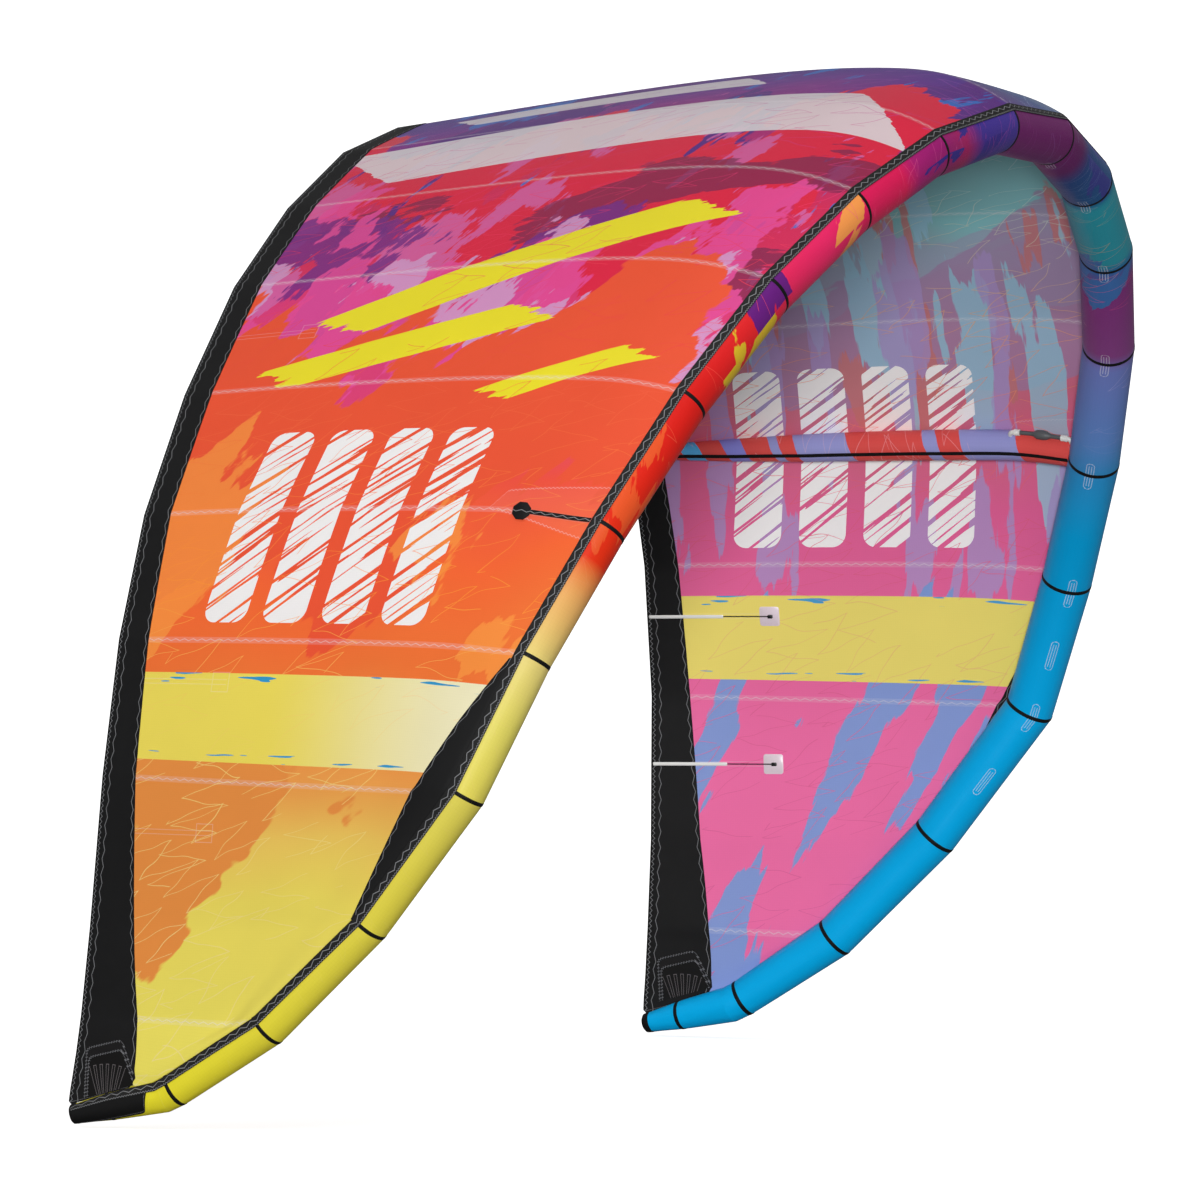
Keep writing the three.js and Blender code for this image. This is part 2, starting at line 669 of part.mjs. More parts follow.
function addCanopy() {
  const seams = [0, 1, 2, 3, 4, 5, 6, 7, tipStart, 11.35];
  for (let k = 0; k + 1 < seams.length; k++) {
    const from = seams[k];
    const to = seams[k + 1];
    const step = to - from > 1.5 ? 0.25 : 1 / 3;
    let places = [];
    for (let place = from; place < to - 0.1; place += step) places.push(place);
    if (from === wedgeTop) places = wedge.map((row) => row.place).filter((place) => place < to);
    places = withCorners([...places, to]);
    const geometry = canopySheet({ places, start: wedgeEdge, end: bandStart, columns: 17 });
    const left = k < 3 ? colours.magenta : k < 6 ? colours.orange : colours.yellow;
    addPair(`canopy_panel_${k + 1}`, geometry, k < 5 ? colours.navy : colours.magenta, left, 0.5);
  }
}

function addReinforcements() {
  const listed = wedge.slice(1, -1).map((row) => row.place);
  const wedgePlaces = withCorners([6.04, ...listed, 7.25, 7.5, 7.75, 7.96]);
  const wedgeSheet = canopySheet({ places: wedgePlaces, start: () => 0, end: wedgeEdge, columns: 4 });
  addPair('reinforcing_wedge', wedgeSheet, colours.black, colours.black, 0.8);
  const bandPlaces = [];
  for (let i = 0; i <= 4 * tipRib; i++) bandPlaces.push(i / 4);
  const bandEnd = (place) => ribLine(place).length;
  const band = canopySheet({ places: bandPlaces, start: bandStart, end: bandEnd, columns: 4 });
  addPair('trailing_edge_band', band, colours.black, colours.black, 0.8);
  const coverTop = (index) => degrees(ribs[index].strip) - 0.02;
  const wrap = tubeWrap(tipCover, () => degrees(tipCoverAngle), coverTop, 10);
  const cover = sheetSolid(wrap.points, wrap.normals, clothThickness);
  addPair('tip_cover', cover, colours.black, colours.black, 0.8);
  addPair('strut_strap', strapSolid(), colours.black, colours.black, 0.8);
}

// The closing strip runs in one piece along the whole leading edge.
function addClosingStrip() {
  const rows = [];
  for (let place = 0; place <= tipRib; place += 0.5) rows.push({ upper: place, lower: place });
  const lowAngle = (index) => degrees(ribs[index].strip);
  const highAngle = (index) => degrees(ribs[index].strip) + Math.min(stripWidth / ribs[index].radius, 0.62);
  const { points, normals } = tubeWrap(rows, lowAngle, highAngle, 3);
  const flip = (v) => new THREE.Vector3(-v.x, v.y, v.z);
  const leftPoints = points.slice(1).reverse().map((row) => row.map(flip));
  const leftNormals = normals.slice(1).reverse().map((row) => row.map(flip));
  const strip = sheetSolid(leftPoints.concat(points), leftNormals.concat(normals), clothThickness);
  addPiece('closing_strip', strip, colours.black, 0.8);
}

function addStruts() {
  addPiece('strut_centre', strutSolid(0), colours.red, 0.45);
  addPair('strut_side', strutSolid(strutRib), colours.red, colours.red, 0.45);
  addPair('inflation_hose', hoseSolid(), colours.grey, colours.grey, 0.5);
  for (const { name, right, left, length } of battens) {
    addPiece(`batten_${name}_right`, battenSolid(right, length), colours.white, 0.5);
    addPiece(`batten_${name}_left`, mirrored(battenSolid(left, length)), colours.white, 0.5);
  }
}

addLeadingEdge();
addCanopy();
addReinforcements();
addClosingStrip();
addStruts();

export default kite;
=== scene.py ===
import json
import math
import bpy
import numpy as np
from mathutils import Vector
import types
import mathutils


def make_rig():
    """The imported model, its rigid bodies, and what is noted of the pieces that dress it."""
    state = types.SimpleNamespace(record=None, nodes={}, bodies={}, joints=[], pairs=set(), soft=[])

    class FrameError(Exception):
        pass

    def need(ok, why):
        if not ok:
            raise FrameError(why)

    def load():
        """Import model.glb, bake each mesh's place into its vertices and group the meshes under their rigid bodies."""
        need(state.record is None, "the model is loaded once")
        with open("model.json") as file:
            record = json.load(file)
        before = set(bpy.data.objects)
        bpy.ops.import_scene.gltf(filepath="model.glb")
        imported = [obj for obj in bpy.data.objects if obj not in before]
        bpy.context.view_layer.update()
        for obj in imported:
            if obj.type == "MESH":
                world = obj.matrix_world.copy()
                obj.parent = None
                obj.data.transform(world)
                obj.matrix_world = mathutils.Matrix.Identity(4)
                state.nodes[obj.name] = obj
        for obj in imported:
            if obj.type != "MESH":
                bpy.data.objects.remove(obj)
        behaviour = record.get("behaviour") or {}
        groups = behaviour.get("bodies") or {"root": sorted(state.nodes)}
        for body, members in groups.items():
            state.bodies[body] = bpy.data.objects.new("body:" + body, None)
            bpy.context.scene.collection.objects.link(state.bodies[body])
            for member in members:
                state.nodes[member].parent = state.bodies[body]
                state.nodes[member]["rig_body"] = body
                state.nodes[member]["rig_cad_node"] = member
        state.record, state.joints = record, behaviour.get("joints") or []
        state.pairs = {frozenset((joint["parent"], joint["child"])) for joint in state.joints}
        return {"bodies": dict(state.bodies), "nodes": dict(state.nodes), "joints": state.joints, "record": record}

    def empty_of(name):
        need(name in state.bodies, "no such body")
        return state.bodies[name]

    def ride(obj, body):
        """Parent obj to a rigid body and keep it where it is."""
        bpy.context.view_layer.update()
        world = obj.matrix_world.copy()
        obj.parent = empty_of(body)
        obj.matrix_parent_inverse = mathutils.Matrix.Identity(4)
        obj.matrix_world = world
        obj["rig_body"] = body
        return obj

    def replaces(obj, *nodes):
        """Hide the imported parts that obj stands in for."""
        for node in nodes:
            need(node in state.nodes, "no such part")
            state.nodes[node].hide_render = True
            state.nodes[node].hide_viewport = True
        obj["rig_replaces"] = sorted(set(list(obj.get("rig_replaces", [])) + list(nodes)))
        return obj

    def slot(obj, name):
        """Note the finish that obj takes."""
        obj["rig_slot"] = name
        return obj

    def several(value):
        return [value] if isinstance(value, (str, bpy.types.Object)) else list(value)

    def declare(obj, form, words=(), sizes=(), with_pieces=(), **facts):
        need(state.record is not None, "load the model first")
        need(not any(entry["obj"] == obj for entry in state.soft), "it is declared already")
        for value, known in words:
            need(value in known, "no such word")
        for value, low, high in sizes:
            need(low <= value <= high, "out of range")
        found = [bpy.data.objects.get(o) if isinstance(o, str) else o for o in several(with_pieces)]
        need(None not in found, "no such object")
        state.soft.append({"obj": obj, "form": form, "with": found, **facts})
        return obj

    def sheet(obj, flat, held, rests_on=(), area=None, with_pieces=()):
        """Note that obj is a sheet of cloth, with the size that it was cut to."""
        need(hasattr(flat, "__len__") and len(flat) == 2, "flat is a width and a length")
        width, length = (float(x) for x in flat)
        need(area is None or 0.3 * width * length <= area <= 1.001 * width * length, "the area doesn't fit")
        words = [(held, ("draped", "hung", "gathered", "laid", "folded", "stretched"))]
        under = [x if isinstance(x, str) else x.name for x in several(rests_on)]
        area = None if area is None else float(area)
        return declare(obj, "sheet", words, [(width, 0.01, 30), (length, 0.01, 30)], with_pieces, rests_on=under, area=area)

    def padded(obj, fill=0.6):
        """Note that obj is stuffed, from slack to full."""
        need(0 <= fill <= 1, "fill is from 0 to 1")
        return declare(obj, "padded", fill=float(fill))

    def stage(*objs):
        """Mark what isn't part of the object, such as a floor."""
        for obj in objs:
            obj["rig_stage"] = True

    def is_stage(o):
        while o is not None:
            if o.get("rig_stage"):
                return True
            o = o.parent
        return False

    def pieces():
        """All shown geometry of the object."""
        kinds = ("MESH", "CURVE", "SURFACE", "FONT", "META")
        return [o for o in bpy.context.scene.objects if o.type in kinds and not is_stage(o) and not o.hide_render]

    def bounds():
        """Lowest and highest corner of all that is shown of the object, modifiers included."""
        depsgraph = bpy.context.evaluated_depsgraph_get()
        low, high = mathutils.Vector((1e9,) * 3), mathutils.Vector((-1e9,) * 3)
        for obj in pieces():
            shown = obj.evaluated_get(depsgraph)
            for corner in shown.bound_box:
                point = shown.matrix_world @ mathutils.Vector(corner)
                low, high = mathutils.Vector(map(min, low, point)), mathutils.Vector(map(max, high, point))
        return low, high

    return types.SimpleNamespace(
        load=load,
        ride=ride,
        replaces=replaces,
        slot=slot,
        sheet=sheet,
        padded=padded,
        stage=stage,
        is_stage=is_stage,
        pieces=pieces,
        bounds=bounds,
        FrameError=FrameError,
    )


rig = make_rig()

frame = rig.load()
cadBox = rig.bounds()

# The kite hangs with its leading edge toward -Y and its span along X.
# The ribs run from the centre to the tip of one wing, in millimetres; the
# other wing is its mirror image. A place on a wing is a rib number with a
# fraction, and a distance is measured along the cloth from the closing strip.
ribs = {
    "axis": np.array([
        [0, 70, 0], [413, 91, -49], [799, 144, -178], [1144, 227, -374], [1430, 335, -636],
        [1649, 464, -945], [1801, 601, -1263], [1892, 741, -1601], [1884, 1001, -1936],
        [1878, 1277, -2204], [1871, 1530, -2367], [1868, 1566, -2385], [1875, 1704, -2416],
        [1885, 1803, -2439]], float),
    "trailing": np.array([
        [0, 1710, -37], [369, 1704, -83], [727, 1707, -209], [1056, 1714, -392], [1355, 1723, -650],
        [1595, 1732, -941], [1727, 1745, -1248], [1805, 1757, -1588], [1843, 1775, -1963],
        [1862, 1792, -2191], [1872, 1801, -2283], [1876, 1804, -2311], [1884, 1812, -2376],
        [1888, 1815, -2408]], float),
    "radius": np.array([70, 70, 70, 69, 67, 66, 65, 63, 59, 55, 48, 47, 37, 24], float),
    "camber": np.array([91, 84, 79, 75, 69, 73, 63, 60, 58, 50, 0, 0, 0, 0]) / 1000,
    "rise": np.array([85, 70, 50, 42, 40, 14, 12, 10, 8, 6, 0, 0, 0, 0], float),
    "rear": np.array([40, 36, 36, 38, 55, 60, 50, 50, 50, 50, 0, 0, 0, 0]) / 100,
    "strip": np.array([34, 40, 47, 52, 57, 63, 68, 74, 82, 95, 108, 109, 112, 115], float),
    "slide": np.array([0, 0, 3, 8, 9, 10, 10, 18, 20, 22, 0, 0, 0, 0], float),
    "band": np.array([78, 82, 82, 80, 82, 80, 88, 100, 130, 163, 176, 180, 150, 100], float),
}
ribNumbers = np.arange(14.0)
tipRib = 13
strutRib = 5
skin = {"clothGap": 0.6, "stripWidth": 25, "seamGap": 0.4, "sheet": 1.5, "camberAt": 0.21}


def unit(vectors):
    return vectors / np.linalg.norm(vectors, axis=-1, keepdims=True)


def dot(one, other):
    return (one * other).sum(-1, keepdims=True)


def mix(low, high, share):
    return low + (high - low) * share


# Frame of each rib: the tube's axis halfway between its two lengths, forward
# and outward in the plane of the ring, and the chord with the cloth's normal.
def ribFrames():
    axis, trailing = ribs["axis"], ribs["trailing"]
    steps = unit(np.diff(axis, axis=0))
    tubeAxis = np.vstack([[[1, 0, 0]], unit(steps[:-1] + steps[1:]), steps[-1:]])
    slope = unit((axis[2:] - axis[:-2])[:, [0, 2]])
    arc = np.zeros((14, 3))
    arc[0] = 0, 0, 1
    arc[1:-1, 0], arc[1:-1, 2] = -slope[:, 1], slope[:, 0]
    arc[7:] = unit(np.array([1, 0, 0.02]))
    chord = trailing - axis
    forward = unit(-chord + tubeAxis * dot(chord, tubeAxis))
    outward = unit(np.cross(forward, tubeAxis))
    outward *= np.sign(dot(outward, arc))
    along = unit(chord)
    normal = unit(arc - along * dot(arc, along))
    return {"axis": tubeAxis, "forward": forward, "outward": outward, "along": along,
            "normal": normal, "chord": np.linalg.norm(chord, axis=1)}


frames = ribFrames()


# Values of a rib table between ribs: straight from one rib to the next.
def between(values, place):
    first = np.clip(np.floor(place).astype(int), 0, tipRib - 1)
    share = place - first
    if values.ndim > 1:
        share = share[..., None]
    return mix(values[first], values[first + 1], share)


# Point on the leading edge tube: centre + radius * (cos * forward + sin * outward)
# at both neighbouring rings, joined by a straight line.
def tubePoint(place, angle, lift=0.0):
    place, angle, lift = np.broadcast_arrays(place, angle, lift)
    first = np.clip(np.floor(place).astype(int), 0, tipRib - 1)
    share = (place - first)[..., None]

    def ring(index):
        reach = (ribs["radius"][index] + lift)[..., None]
        turn = angle[..., None]
        return ribs["axis"][index] + reach * (
            np.cos(turn) * frames["forward"][index] + np.sin(turn) * frames["outward"][index])

    return mix(ring(first), ring(first + 1), share)


# Length along a row of points, from the first one to each.
def runningLength(points):
    return np.concatenate([[0], np.cumsum(np.linalg.norm(np.diff(points, axis=0), axis=1))])


stripEnd = tubePoint(
    ribNumbers,
    np.radians(ribs["strip"]) + (skin["stripWidth"] + skin["seamGap"]) / ribs["radius"],
    skin["clothGap"] + skin["sheet"] / 2)
stripLength = runningLength(stripEnd)
seamAt = stripLength + ribs["slide"]
trailingLength = runningLength(ribs["trailing"])
axisLength = runningLength(ribs["axis"])


# Point on the rear edge of the closing strip, at a length along that edge.
def stripPoint(distance):
    return np.stack([np.interp(distance, stripLength, stripEnd[:, k]) for k in range(3)], -1)


# Seven control points for each rib: two cubic curves that meet at the crest,
# and at the wing tip a line that is almost straight.
def ribControls():
    start = stripPoint(seamAt)
    end = ribs["trailing"]
    along, normal, chord = frames["along"], frames["normal"], frames["chord"][:, None]
    rise, rear = ribs["rise"][:, None], ribs["rear"][:, None]
    height = ribs["camber"][:, None] * chord
    crest = ribs["axis"] + along * skin["camberAt"] * chord + normal * height
    ahead = np.linalg.norm(start - crest, axis=1, keepdims=True)
    behind = np.linalg.norm(end - crest, axis=1, keepdims=True)
    controls = np.stack([
        start, start + along * 0.33 * ahead + normal * rise, crest - along * 0.4 * ahead, crest,
        crest + along * 0.25 * behind, end - along * 0.32 * behind + normal * rear * height, end], 1)
    span = end - start
    bulge = 0.015 * np.linalg.norm(span, axis=1)[:, None, None]
    share = np.array([0, 0.1, 0.2, 0.3, 0.5, 0.8, 1])[None, :, None]
    rises = np.array([0, 0.5, 0.9, 1, 1.2, 0.6, 0])[None, :, None]
    straight = start[:, None] + span[:, None] * share + normal[:, None] * bulge * rises
    return np.where(ribs["camber"][:, None, None] > 0, controls, straight)


controlPoints = ribControls()


# Lines of the cloth at any places: the ribs' control points mixed, the first
# ones moved onto the strip, and both cubics sampled with their lengths.
def clothLines(place, steps=64):
    controls = between(controlPoints.reshape(14, 21), place).reshape(-1, 7, 3)
    onStrip = stripPoint(between(seamAt, place))
    controls[:, 1] += onStrip - controls[:, 0]
    controls[:, 0] = onStrip
    t = np.linspace(0, 1, steps + 1)
    weights = np.stack([(1 - t) ** 3, 3 * t * (1 - t) ** 2, 3 * t * t * (1 - t), t ** 3], 1)
    front = np.einsum("sk,nkc->nsc", weights, controls[:, :4])
    rear = np.einsum("sk,nkc->nsc", weights, controls[:, 3:])
    points = np.concatenate([front, rear[:, 1:]], 1)
    lengths = np.cumsum(np.linalg.norm(np.diff(points, axis=1), axis=2), axis=1)
    return points, np.concatenate([np.zeros((len(place), 1)), lengths], 1)


# Length of the cloth from the closing strip to the trailing edge.
def clothLength(place):
    return clothLines(np.atleast_1d(np.asarray(place, float)))[1][:, -1]


# How far each panel fills out between its seams, and how that fades to the tip.
billow = {"height": 5.0, "place": [0, 8, 9.5, 13], "size": [1, 1, 0.3, 0]}


# Point of the cloth at (place, distance): read off the sampled line by its
# length, then blown outward by height * sin(pi * share between ribs).
def clothPoint(place, distance):
    place = np.atleast_1d(np.asarray(place, float))
    distance = np.asarray(distance, float).reshape(len(place), -1)
    points, lengths = clothLines(place)
    whole = lengths[:, -1:]
    shift = np.arange(len(place))[:, None] * 1e5
    wanted = (np.clip(distance, 0, whole) + shift).ravel()
    known = (lengths + shift).ravel()
    read = np.stack([np.interp(wanted, known, points[..., k].ravel()) for k in range(3)], -1)
    read = read.reshape(distance.shape + (3,))
    past = np.clip(distance - whole, 0, None) + np.clip(distance, None, 0)
    ends = np.where((distance > whole)[..., None], unit(points[:, -1:] - points[:, -2:-1]),
                    unit(points[:, 1:2] - points[:, :1]))
    read += ends * past[..., None]
    share = np.clip(distance / whole, 0, 1)
    fade = np.interp(place, billow["place"], billow["size"]) * np.sin(np.pi * (place % 1))
    lift = billow["height"] * fade[:, None] * np.clip(5 * share * (1 - share), 0, 1)
    return read + lift[..., None] * between(frames["normal"], place)[:, None]


# Outward normals of a grid of points: across the wing times along the chord.
def gridNormals(points):
    return unit(np.cross(np.gradient(points, axis=0), np.gradient(points, axis=1)))


# Outward normal of the cloth at single places, from short steps both ways.
def clothNormal(place, distance):
    place = np.atleast_1d(np.asarray(place, float))
    distance = np.asarray(distance, float).reshape(len(place), -1)
    low = np.clip(place - 0.015, 0, tipRib)
    reach = clothLength(place)[:, None] - 3
    near = np.clip(distance, 0, reach)
    across = clothPoint(low + 0.03, near) - clothPoint(low, near)
    aft = clothPoint(place, near + 3) - clothPoint(place, near)
    return unit(np.cross(across, aft))


# Where the trailing edge band begins: the cloth's length less the band's width.
def bandStart(place):
    return np.clip(clothLength(place) - between(ribs["band"], np.asarray(place, float)), 0, None)


# How far behind the closing strip the cloth begins, growing toward the tip.
def frontGap(place):
    return mix(0.2, 3, np.clip((np.asarray(place) - 7.5) / 2.5, 0, 1))


wedge = {
    "place": [6, 6.17, 6.33, 6.5, 6.67, 6.83, 7, 8],
    "width": [0, 21, 39, 57, 70, 82, 92, 0],
    "thickness": 1.0, "room": 0.65,
}


def wedgeWidth(place):
    return np.interp(place, wedge["place"], wedge["width"])


# A shell is its points, its faces as arrays of equal corners, the UV of each
# corner, and a material slot for each face; it is turned outward by its volume.
def shell(points, faces, uvs, slots=None):
    points = np.asarray(points, float).reshape(-1, 3)
    slots = slots or [0] * len(faces)
    middle = points.mean(0)
    volume = 0.0
    for face in faces:
        for k in range(1, face.shape[1] - 1):
            a, b, c = (points[face[:, n]] - middle for n in (0, k, k + 1))
            volume += (a * np.cross(b, c)).sum()
    if volume < 0:
        faces = [face[:, ::-1] for face in faces]
        uvs = [uv[:, ::-1] for uv in uvs]
    return {"points": points, "faces": faces, "uvs": uvs, "slots": slots}


# Corner numbers of the quads of a grid.
def gridQuads(rows, columns):
    i, j = np.meshgrid(np.arange(rows - 1), np.arange(columns - 1), indexing="ij")
    a = i * columns + j
    return np.stack([a, a + 1, a + columns + 1, a + columns], -1).reshape(-1, 4)


# Closed sheet: the grid moved out and in by half its thickness, with rims.
def sheetShell(points, normals, thickness, uv, lift=0.0, slots=(0, 0, 0)):
    rows, columns = points.shape[:2]
    thickness = np.broadcast_to(thickness, (rows, columns))[..., None]
    outer = points + normals * (lift + thickness / 2)
    inner = points + normals * (lift - thickness / 2)
    quads = gridQuads(rows, columns)
    count = rows * columns
    index = np.arange(count).reshape(rows, columns)
    edge = np.concatenate([index[0, :-1], index[:-1, -1], index[-1, :0:-1], index[:0:-1, 0]])
    after = np.roll(edge, -1)
    rim = np.stack([edge, edge + count, after + count, after], 1)
    table = np.tile(uv.reshape(-1, uv.shape[-1]), (2, 1))
    faces = [quads, quads[:, ::-1] + count, rim]
    return shell(np.concatenate([outer.reshape(-1, 3), inner.reshape(-1, 3)]), faces,
                 [table[face] for face in faces], list(slots))


# Loops of points swept into a closed body; it ends in flat caps, or runs round.
def sweepShell(loops, uv, ring=False, slot=0):
    rows, sides = loops.shape[:2]
    i, j = np.meshgrid(np.arange(rows if ring else rows - 1), np.arange(sides), indexing="ij")
    nextRow, nextSide = (i + 1) % rows, (j + 1) % sides
    quads = np.stack([i * sides + j, i * sides + nextSide, nextRow * sides + nextSide,
                      nextRow * sides + j], -1).reshape(-1, 4)
    wide = uv.shape[-1]
    corners = np.stack([uv[i, j], uv[i, j + 1], uv[i + 1, j + 1], uv[i + 1, j]], -2).reshape(-1, 4, wide)
    faces, uvs = [quads], [corners]
    if not ring:
        caps = np.stack([np.arange(sides)[::-1], (rows - 1) * sides + np.arange(sides)])
        faces.append(caps)
        uvs.append(np.stack([uv[0, :-1][::-1], uv[-1, :-1]]))
    return shell(loops.reshape(-1, 3), faces, uvs, [slot] * len(faces))


# Makes one object in metres from shells, riding on the kite's only body. A third
# UV column makes a second map, for what follows another edge of the piece.
def addPiece(name, shells, materials, replaces=(), slot=None):
    points, faces, uvs, slots, count = [], [], [], [], 0
    for part in shells:
        points.append(part["points"])
        for face, uv, number in zip(part["faces"], part["uvs"], part["slots"]):
            faces += (face + count).tolist()
            uvs.append(uv.reshape(-1, uv.shape[-1]))
            slots.append(np.zeros(len(face)) + number)
        count += len(part["points"])
    mesh = bpy.data.meshes.new(name)
    mesh.from_pydata((np.concatenate(points) / 1000).tolist(), [], faces)
    corners = (np.concatenate(uvs) / 1000).astype(np.float32)
    mesh.uv_layers.new(name="cloth").data.foreach_set("uv", corners[:, :2].ravel())
    if corners.shape[1] > 2:
        mesh.uv_layers.new(name="edge").data.foreach_set("uv", corners[:, ::2].ravel())
    for material in materials:
        mesh.materials.append(material)
    mesh.polygons.foreach_set("material_index", np.concatenate(slots).astype(np.int32))
    mesh.polygons.foreach_set("use_smooth", np.ones(len(faces), bool))
    mesh.set_sharp_from_angle(angle=math.radians(50))
    mesh.update()
    obj = bpy.data.objects.new(name, mesh)
    bpy.context.collection.objects.link(obj)
    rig.ride(obj, "root")
    if replaces:
        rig.replaces(obj, *replaces)
    if slot:
        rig.slot(obj, slot)
    return obj


def mirror(points):
    return points * np.array([-1, 1, 1])


sides = {"right": 1, "left": -1}


# All shapes are made for the right wing and mirrored for the left one.
def onSide(points, side):
    return mirror(points) if side == "left" else points


# Rows of one wing and their mirror image in one grid, from tip to tip. The
# spanwise UV turns negative on the left wing.
def bothWings(points, uv):
    flip = np.array([-1, 1, 1])[:uv.shape[-1]]
    return (np.concatenate([mirror(points[:0:-1]), points]),
            np.concatenate([uv[:0:-1] * flip, uv]))


# Map of the cloth: length along the trailing edge, and way up from it.
def clothUv(place, distance):
    place = np.asarray(place, float)
    span = np.interp(place, ribNumbers, trailingLength)[:, None] + 0 * distance
    return np.stack([span, clothLength(place)[:, None] - distance], -1)


# Linear colour of a code: ((v + 0.055) / 1.055) ^ 2.4, or v / 12.92 when dark.
def colour(code):
    values = [int(code[k:k + 2], 16) / 255 for k in (0, 2, 4)]
    return tuple(v / 12.92 if v <= 0.04045 else ((v + 0.055) / 1.055) ** 2.4 for v in values) + (1.0,)


# A value in a node tree. It adds, multiplies and compares as a number does, and
# each sign makes a Math node.
class Wire:
    __array_ufunc__ = None   # leaves the arithmetic with numpy numbers to the wire

    def __init__(self, tree, socket):
        self.tree, self.socket = tree, socket

    def __abs__(self):
        return self.tree.math("ABSOLUTE", self)

    def __lt__(self, other):
        return self.tree.math("LESS_THAN", self, other)

    def __gt__(self, other):
        return self.tree.math("GREATER_THAN", self, other)


for sign, kind in (("add", "ADD"), ("sub", "SUBTRACT"), ("mul", "MULTIPLY"), ("truediv", "DIVIDE")):
    setattr(Wire, f"__{sign}__", lambda one, other, kind=kind: one.tree.math(kind, one, other))
    setattr(Wire, f"__r{sign}__", lambda one, other, kind=kind: one.tree.math(kind, other, one))


# The same for kinds without a sign: the tree is that of the first wire given.
def wireMath(kind):
    return lambda *values: next(v for v in values if isinstance(v, Wire)).tree.math(kind, *values)


largest, smallest, root, fraction = (wireMath(kind) for kind in ("MAXIMUM", "MINIMUM", "SQRT", "FRACT"))


# Outputs of a node, each as a wire.
class Outputs:
    def __init__(self, tree, sockets):
        self.tree, self.sockets = tree, sockets

    def __getitem__(self, key):
        return Wire(self.tree, self.sockets[key])

    def __iter__(self):
        return (Wire(self.tree, socket) for socket in self.sockets)


# Short words for the nodes of one tree. A number, a colour code or a wire may go
# into any input.
class Tree:
    def __init__(self, tree):
        self.tree = tree

    def plug(self, socket, value):
        if isinstance(value, Wire):
            self.tree.links.new(value.socket, socket)
        else:
            socket.default_value = colour(value) if isinstance(value, str) else value

    def node(self, kind, inputs=None, **settings):
        node = self.tree.nodes.new(kind)
        for key, value in settings.items():
            setattr(node, key, value)
        for key, value in (inputs or {}).items():
            self.plug(node.inputs[key], value)
        return node

    def outputs(self, kind, inputs=None, **settings):
        return Outputs(self, self.node(kind, inputs, **settings).outputs)

    def math(self, operation, *values):
        return self.outputs("ShaderNodeMath", dict(enumerate(values)), operation=operation)[0]

    def step(self, value, low, high, start=0.0, end=1.0):
        return self.outputs("ShaderNodeMapRange", {"Value": value, "From Min": low, "From Max": high,
                                                   "To Min": start, "To Max": end},
                            interpolation_type="SMOOTHSTEP")["Result"]

    def blend(self, share, low, high, kind="MIX"):
        return self.outputs("ShaderNodeMix", {0: share, 6: low, 7: high}, data_type="RGBA",
                            blend_type=kind)[2]

    def shade(self, colours, value):
        return self.blend(1.0, colours, self.join(value, value, value), "MULTIPLY")

    def ramp(self, value, stops, kind="LINEAR"):
        node = self.node("ShaderNodeValToRGB", {"Fac": value})
        node.color_ramp.interpolation = kind
        elements = node.color_ramp.elements
        while len(elements) < len(stops):
            elements.new(0.5)
        for element, (place, code) in zip(elements, stops):
            element.position, element.color = place, colour(code)
        return Wire(self, node.outputs["Color"])

    def noise(self, vector, scale, detail=2.0, roughness=0.5):
        return self.outputs("ShaderNodeTexNoise", {"Vector": vector, "Scale": scale, "Detail": detail,
                                                   "Roughness": roughness})["Fac"]

    def stretch(self, vector, scale):
        return self.outputs("ShaderNodeMapping", {"Vector": vector, "Scale": scale})["Vector"]

    def turn(self, vector, angle):
        return self.outputs("ShaderNodeVectorRotate", {"Vector": vector, "Angle": angle},
                            rotation_type="Z_AXIS")[0]

    def split(self, vector):
        return self.outputs("ShaderNodeSeparateXYZ", {"Vector": vector})

    def join(self, x, y, z=0.0):
        return self.outputs("ShaderNodeCombineXYZ", {"X": x, "Y": y, "Z": z})[0]

    def uv(self, name="cloth"):
        return self.outputs("ShaderNodeUVMap", uv_map=name)[0]

    def bump(self, height, distance, strength, normal=None):
        inputs = {"Height": height, "Distance": distance, "Strength": strength}
        if normal is not None:
            inputs["Normal"] = normal
        return self.outputs("ShaderNodeBump", inputs)["Normal"]

    def use(self, group, **inputs):
        return self.outputs("ShaderNodeGroup", inputs, node_tree=bpy.data.node_groups[group])


kinds = {"value": "NodeSocketFloat", "vector": "NodeSocketVector", "colour": "NodeSocketColor"}


# New shader group with named sockets; returns its tree, its inputs and its end.
def newGroup(name, inputs, outputs):
    group = bpy.data.node_groups.new(name, "ShaderNodeTree")
    for direction, table in (("INPUT", inputs), ("OUTPUT", outputs)):
        for socket, kind in table.items():
            group.interface.new_socket(socket, in_out=direction, socket_type=kinds[kind])
    tree = Tree(group)
    return tree, tree.outputs("NodeGroupInput"), tree.node("NodeGroupOutput").inputs


# Zigzag stitch: the distance across from swing * triangle wave of the way along.
def zigzagGroup():
    t, given, out = newGroup(
        "zigzagStitch", {"Along": "value", "Across": "value", "Period": "value", "Swing": "value",
                         "Thread": "value"}, {"Mask": "value", "Height": "value"})
    wave = fraction(given["Along"] / given["Period"])
    fold = abs(wave - 0.5) * 4.0 - 1.0
    slope = given["Swing"] * 4.0 / given["Period"]
    lean = root(slope * slope + 1.0)
    gap = abs(given["Across"] - fold * given["Swing"]) / lean / given["Thread"]
    t.plug(out["Mask"], t.step(gap, 0.62, 0.38))
    t.plug(out["Height"], t.step(gap, 0.7, 0.0))


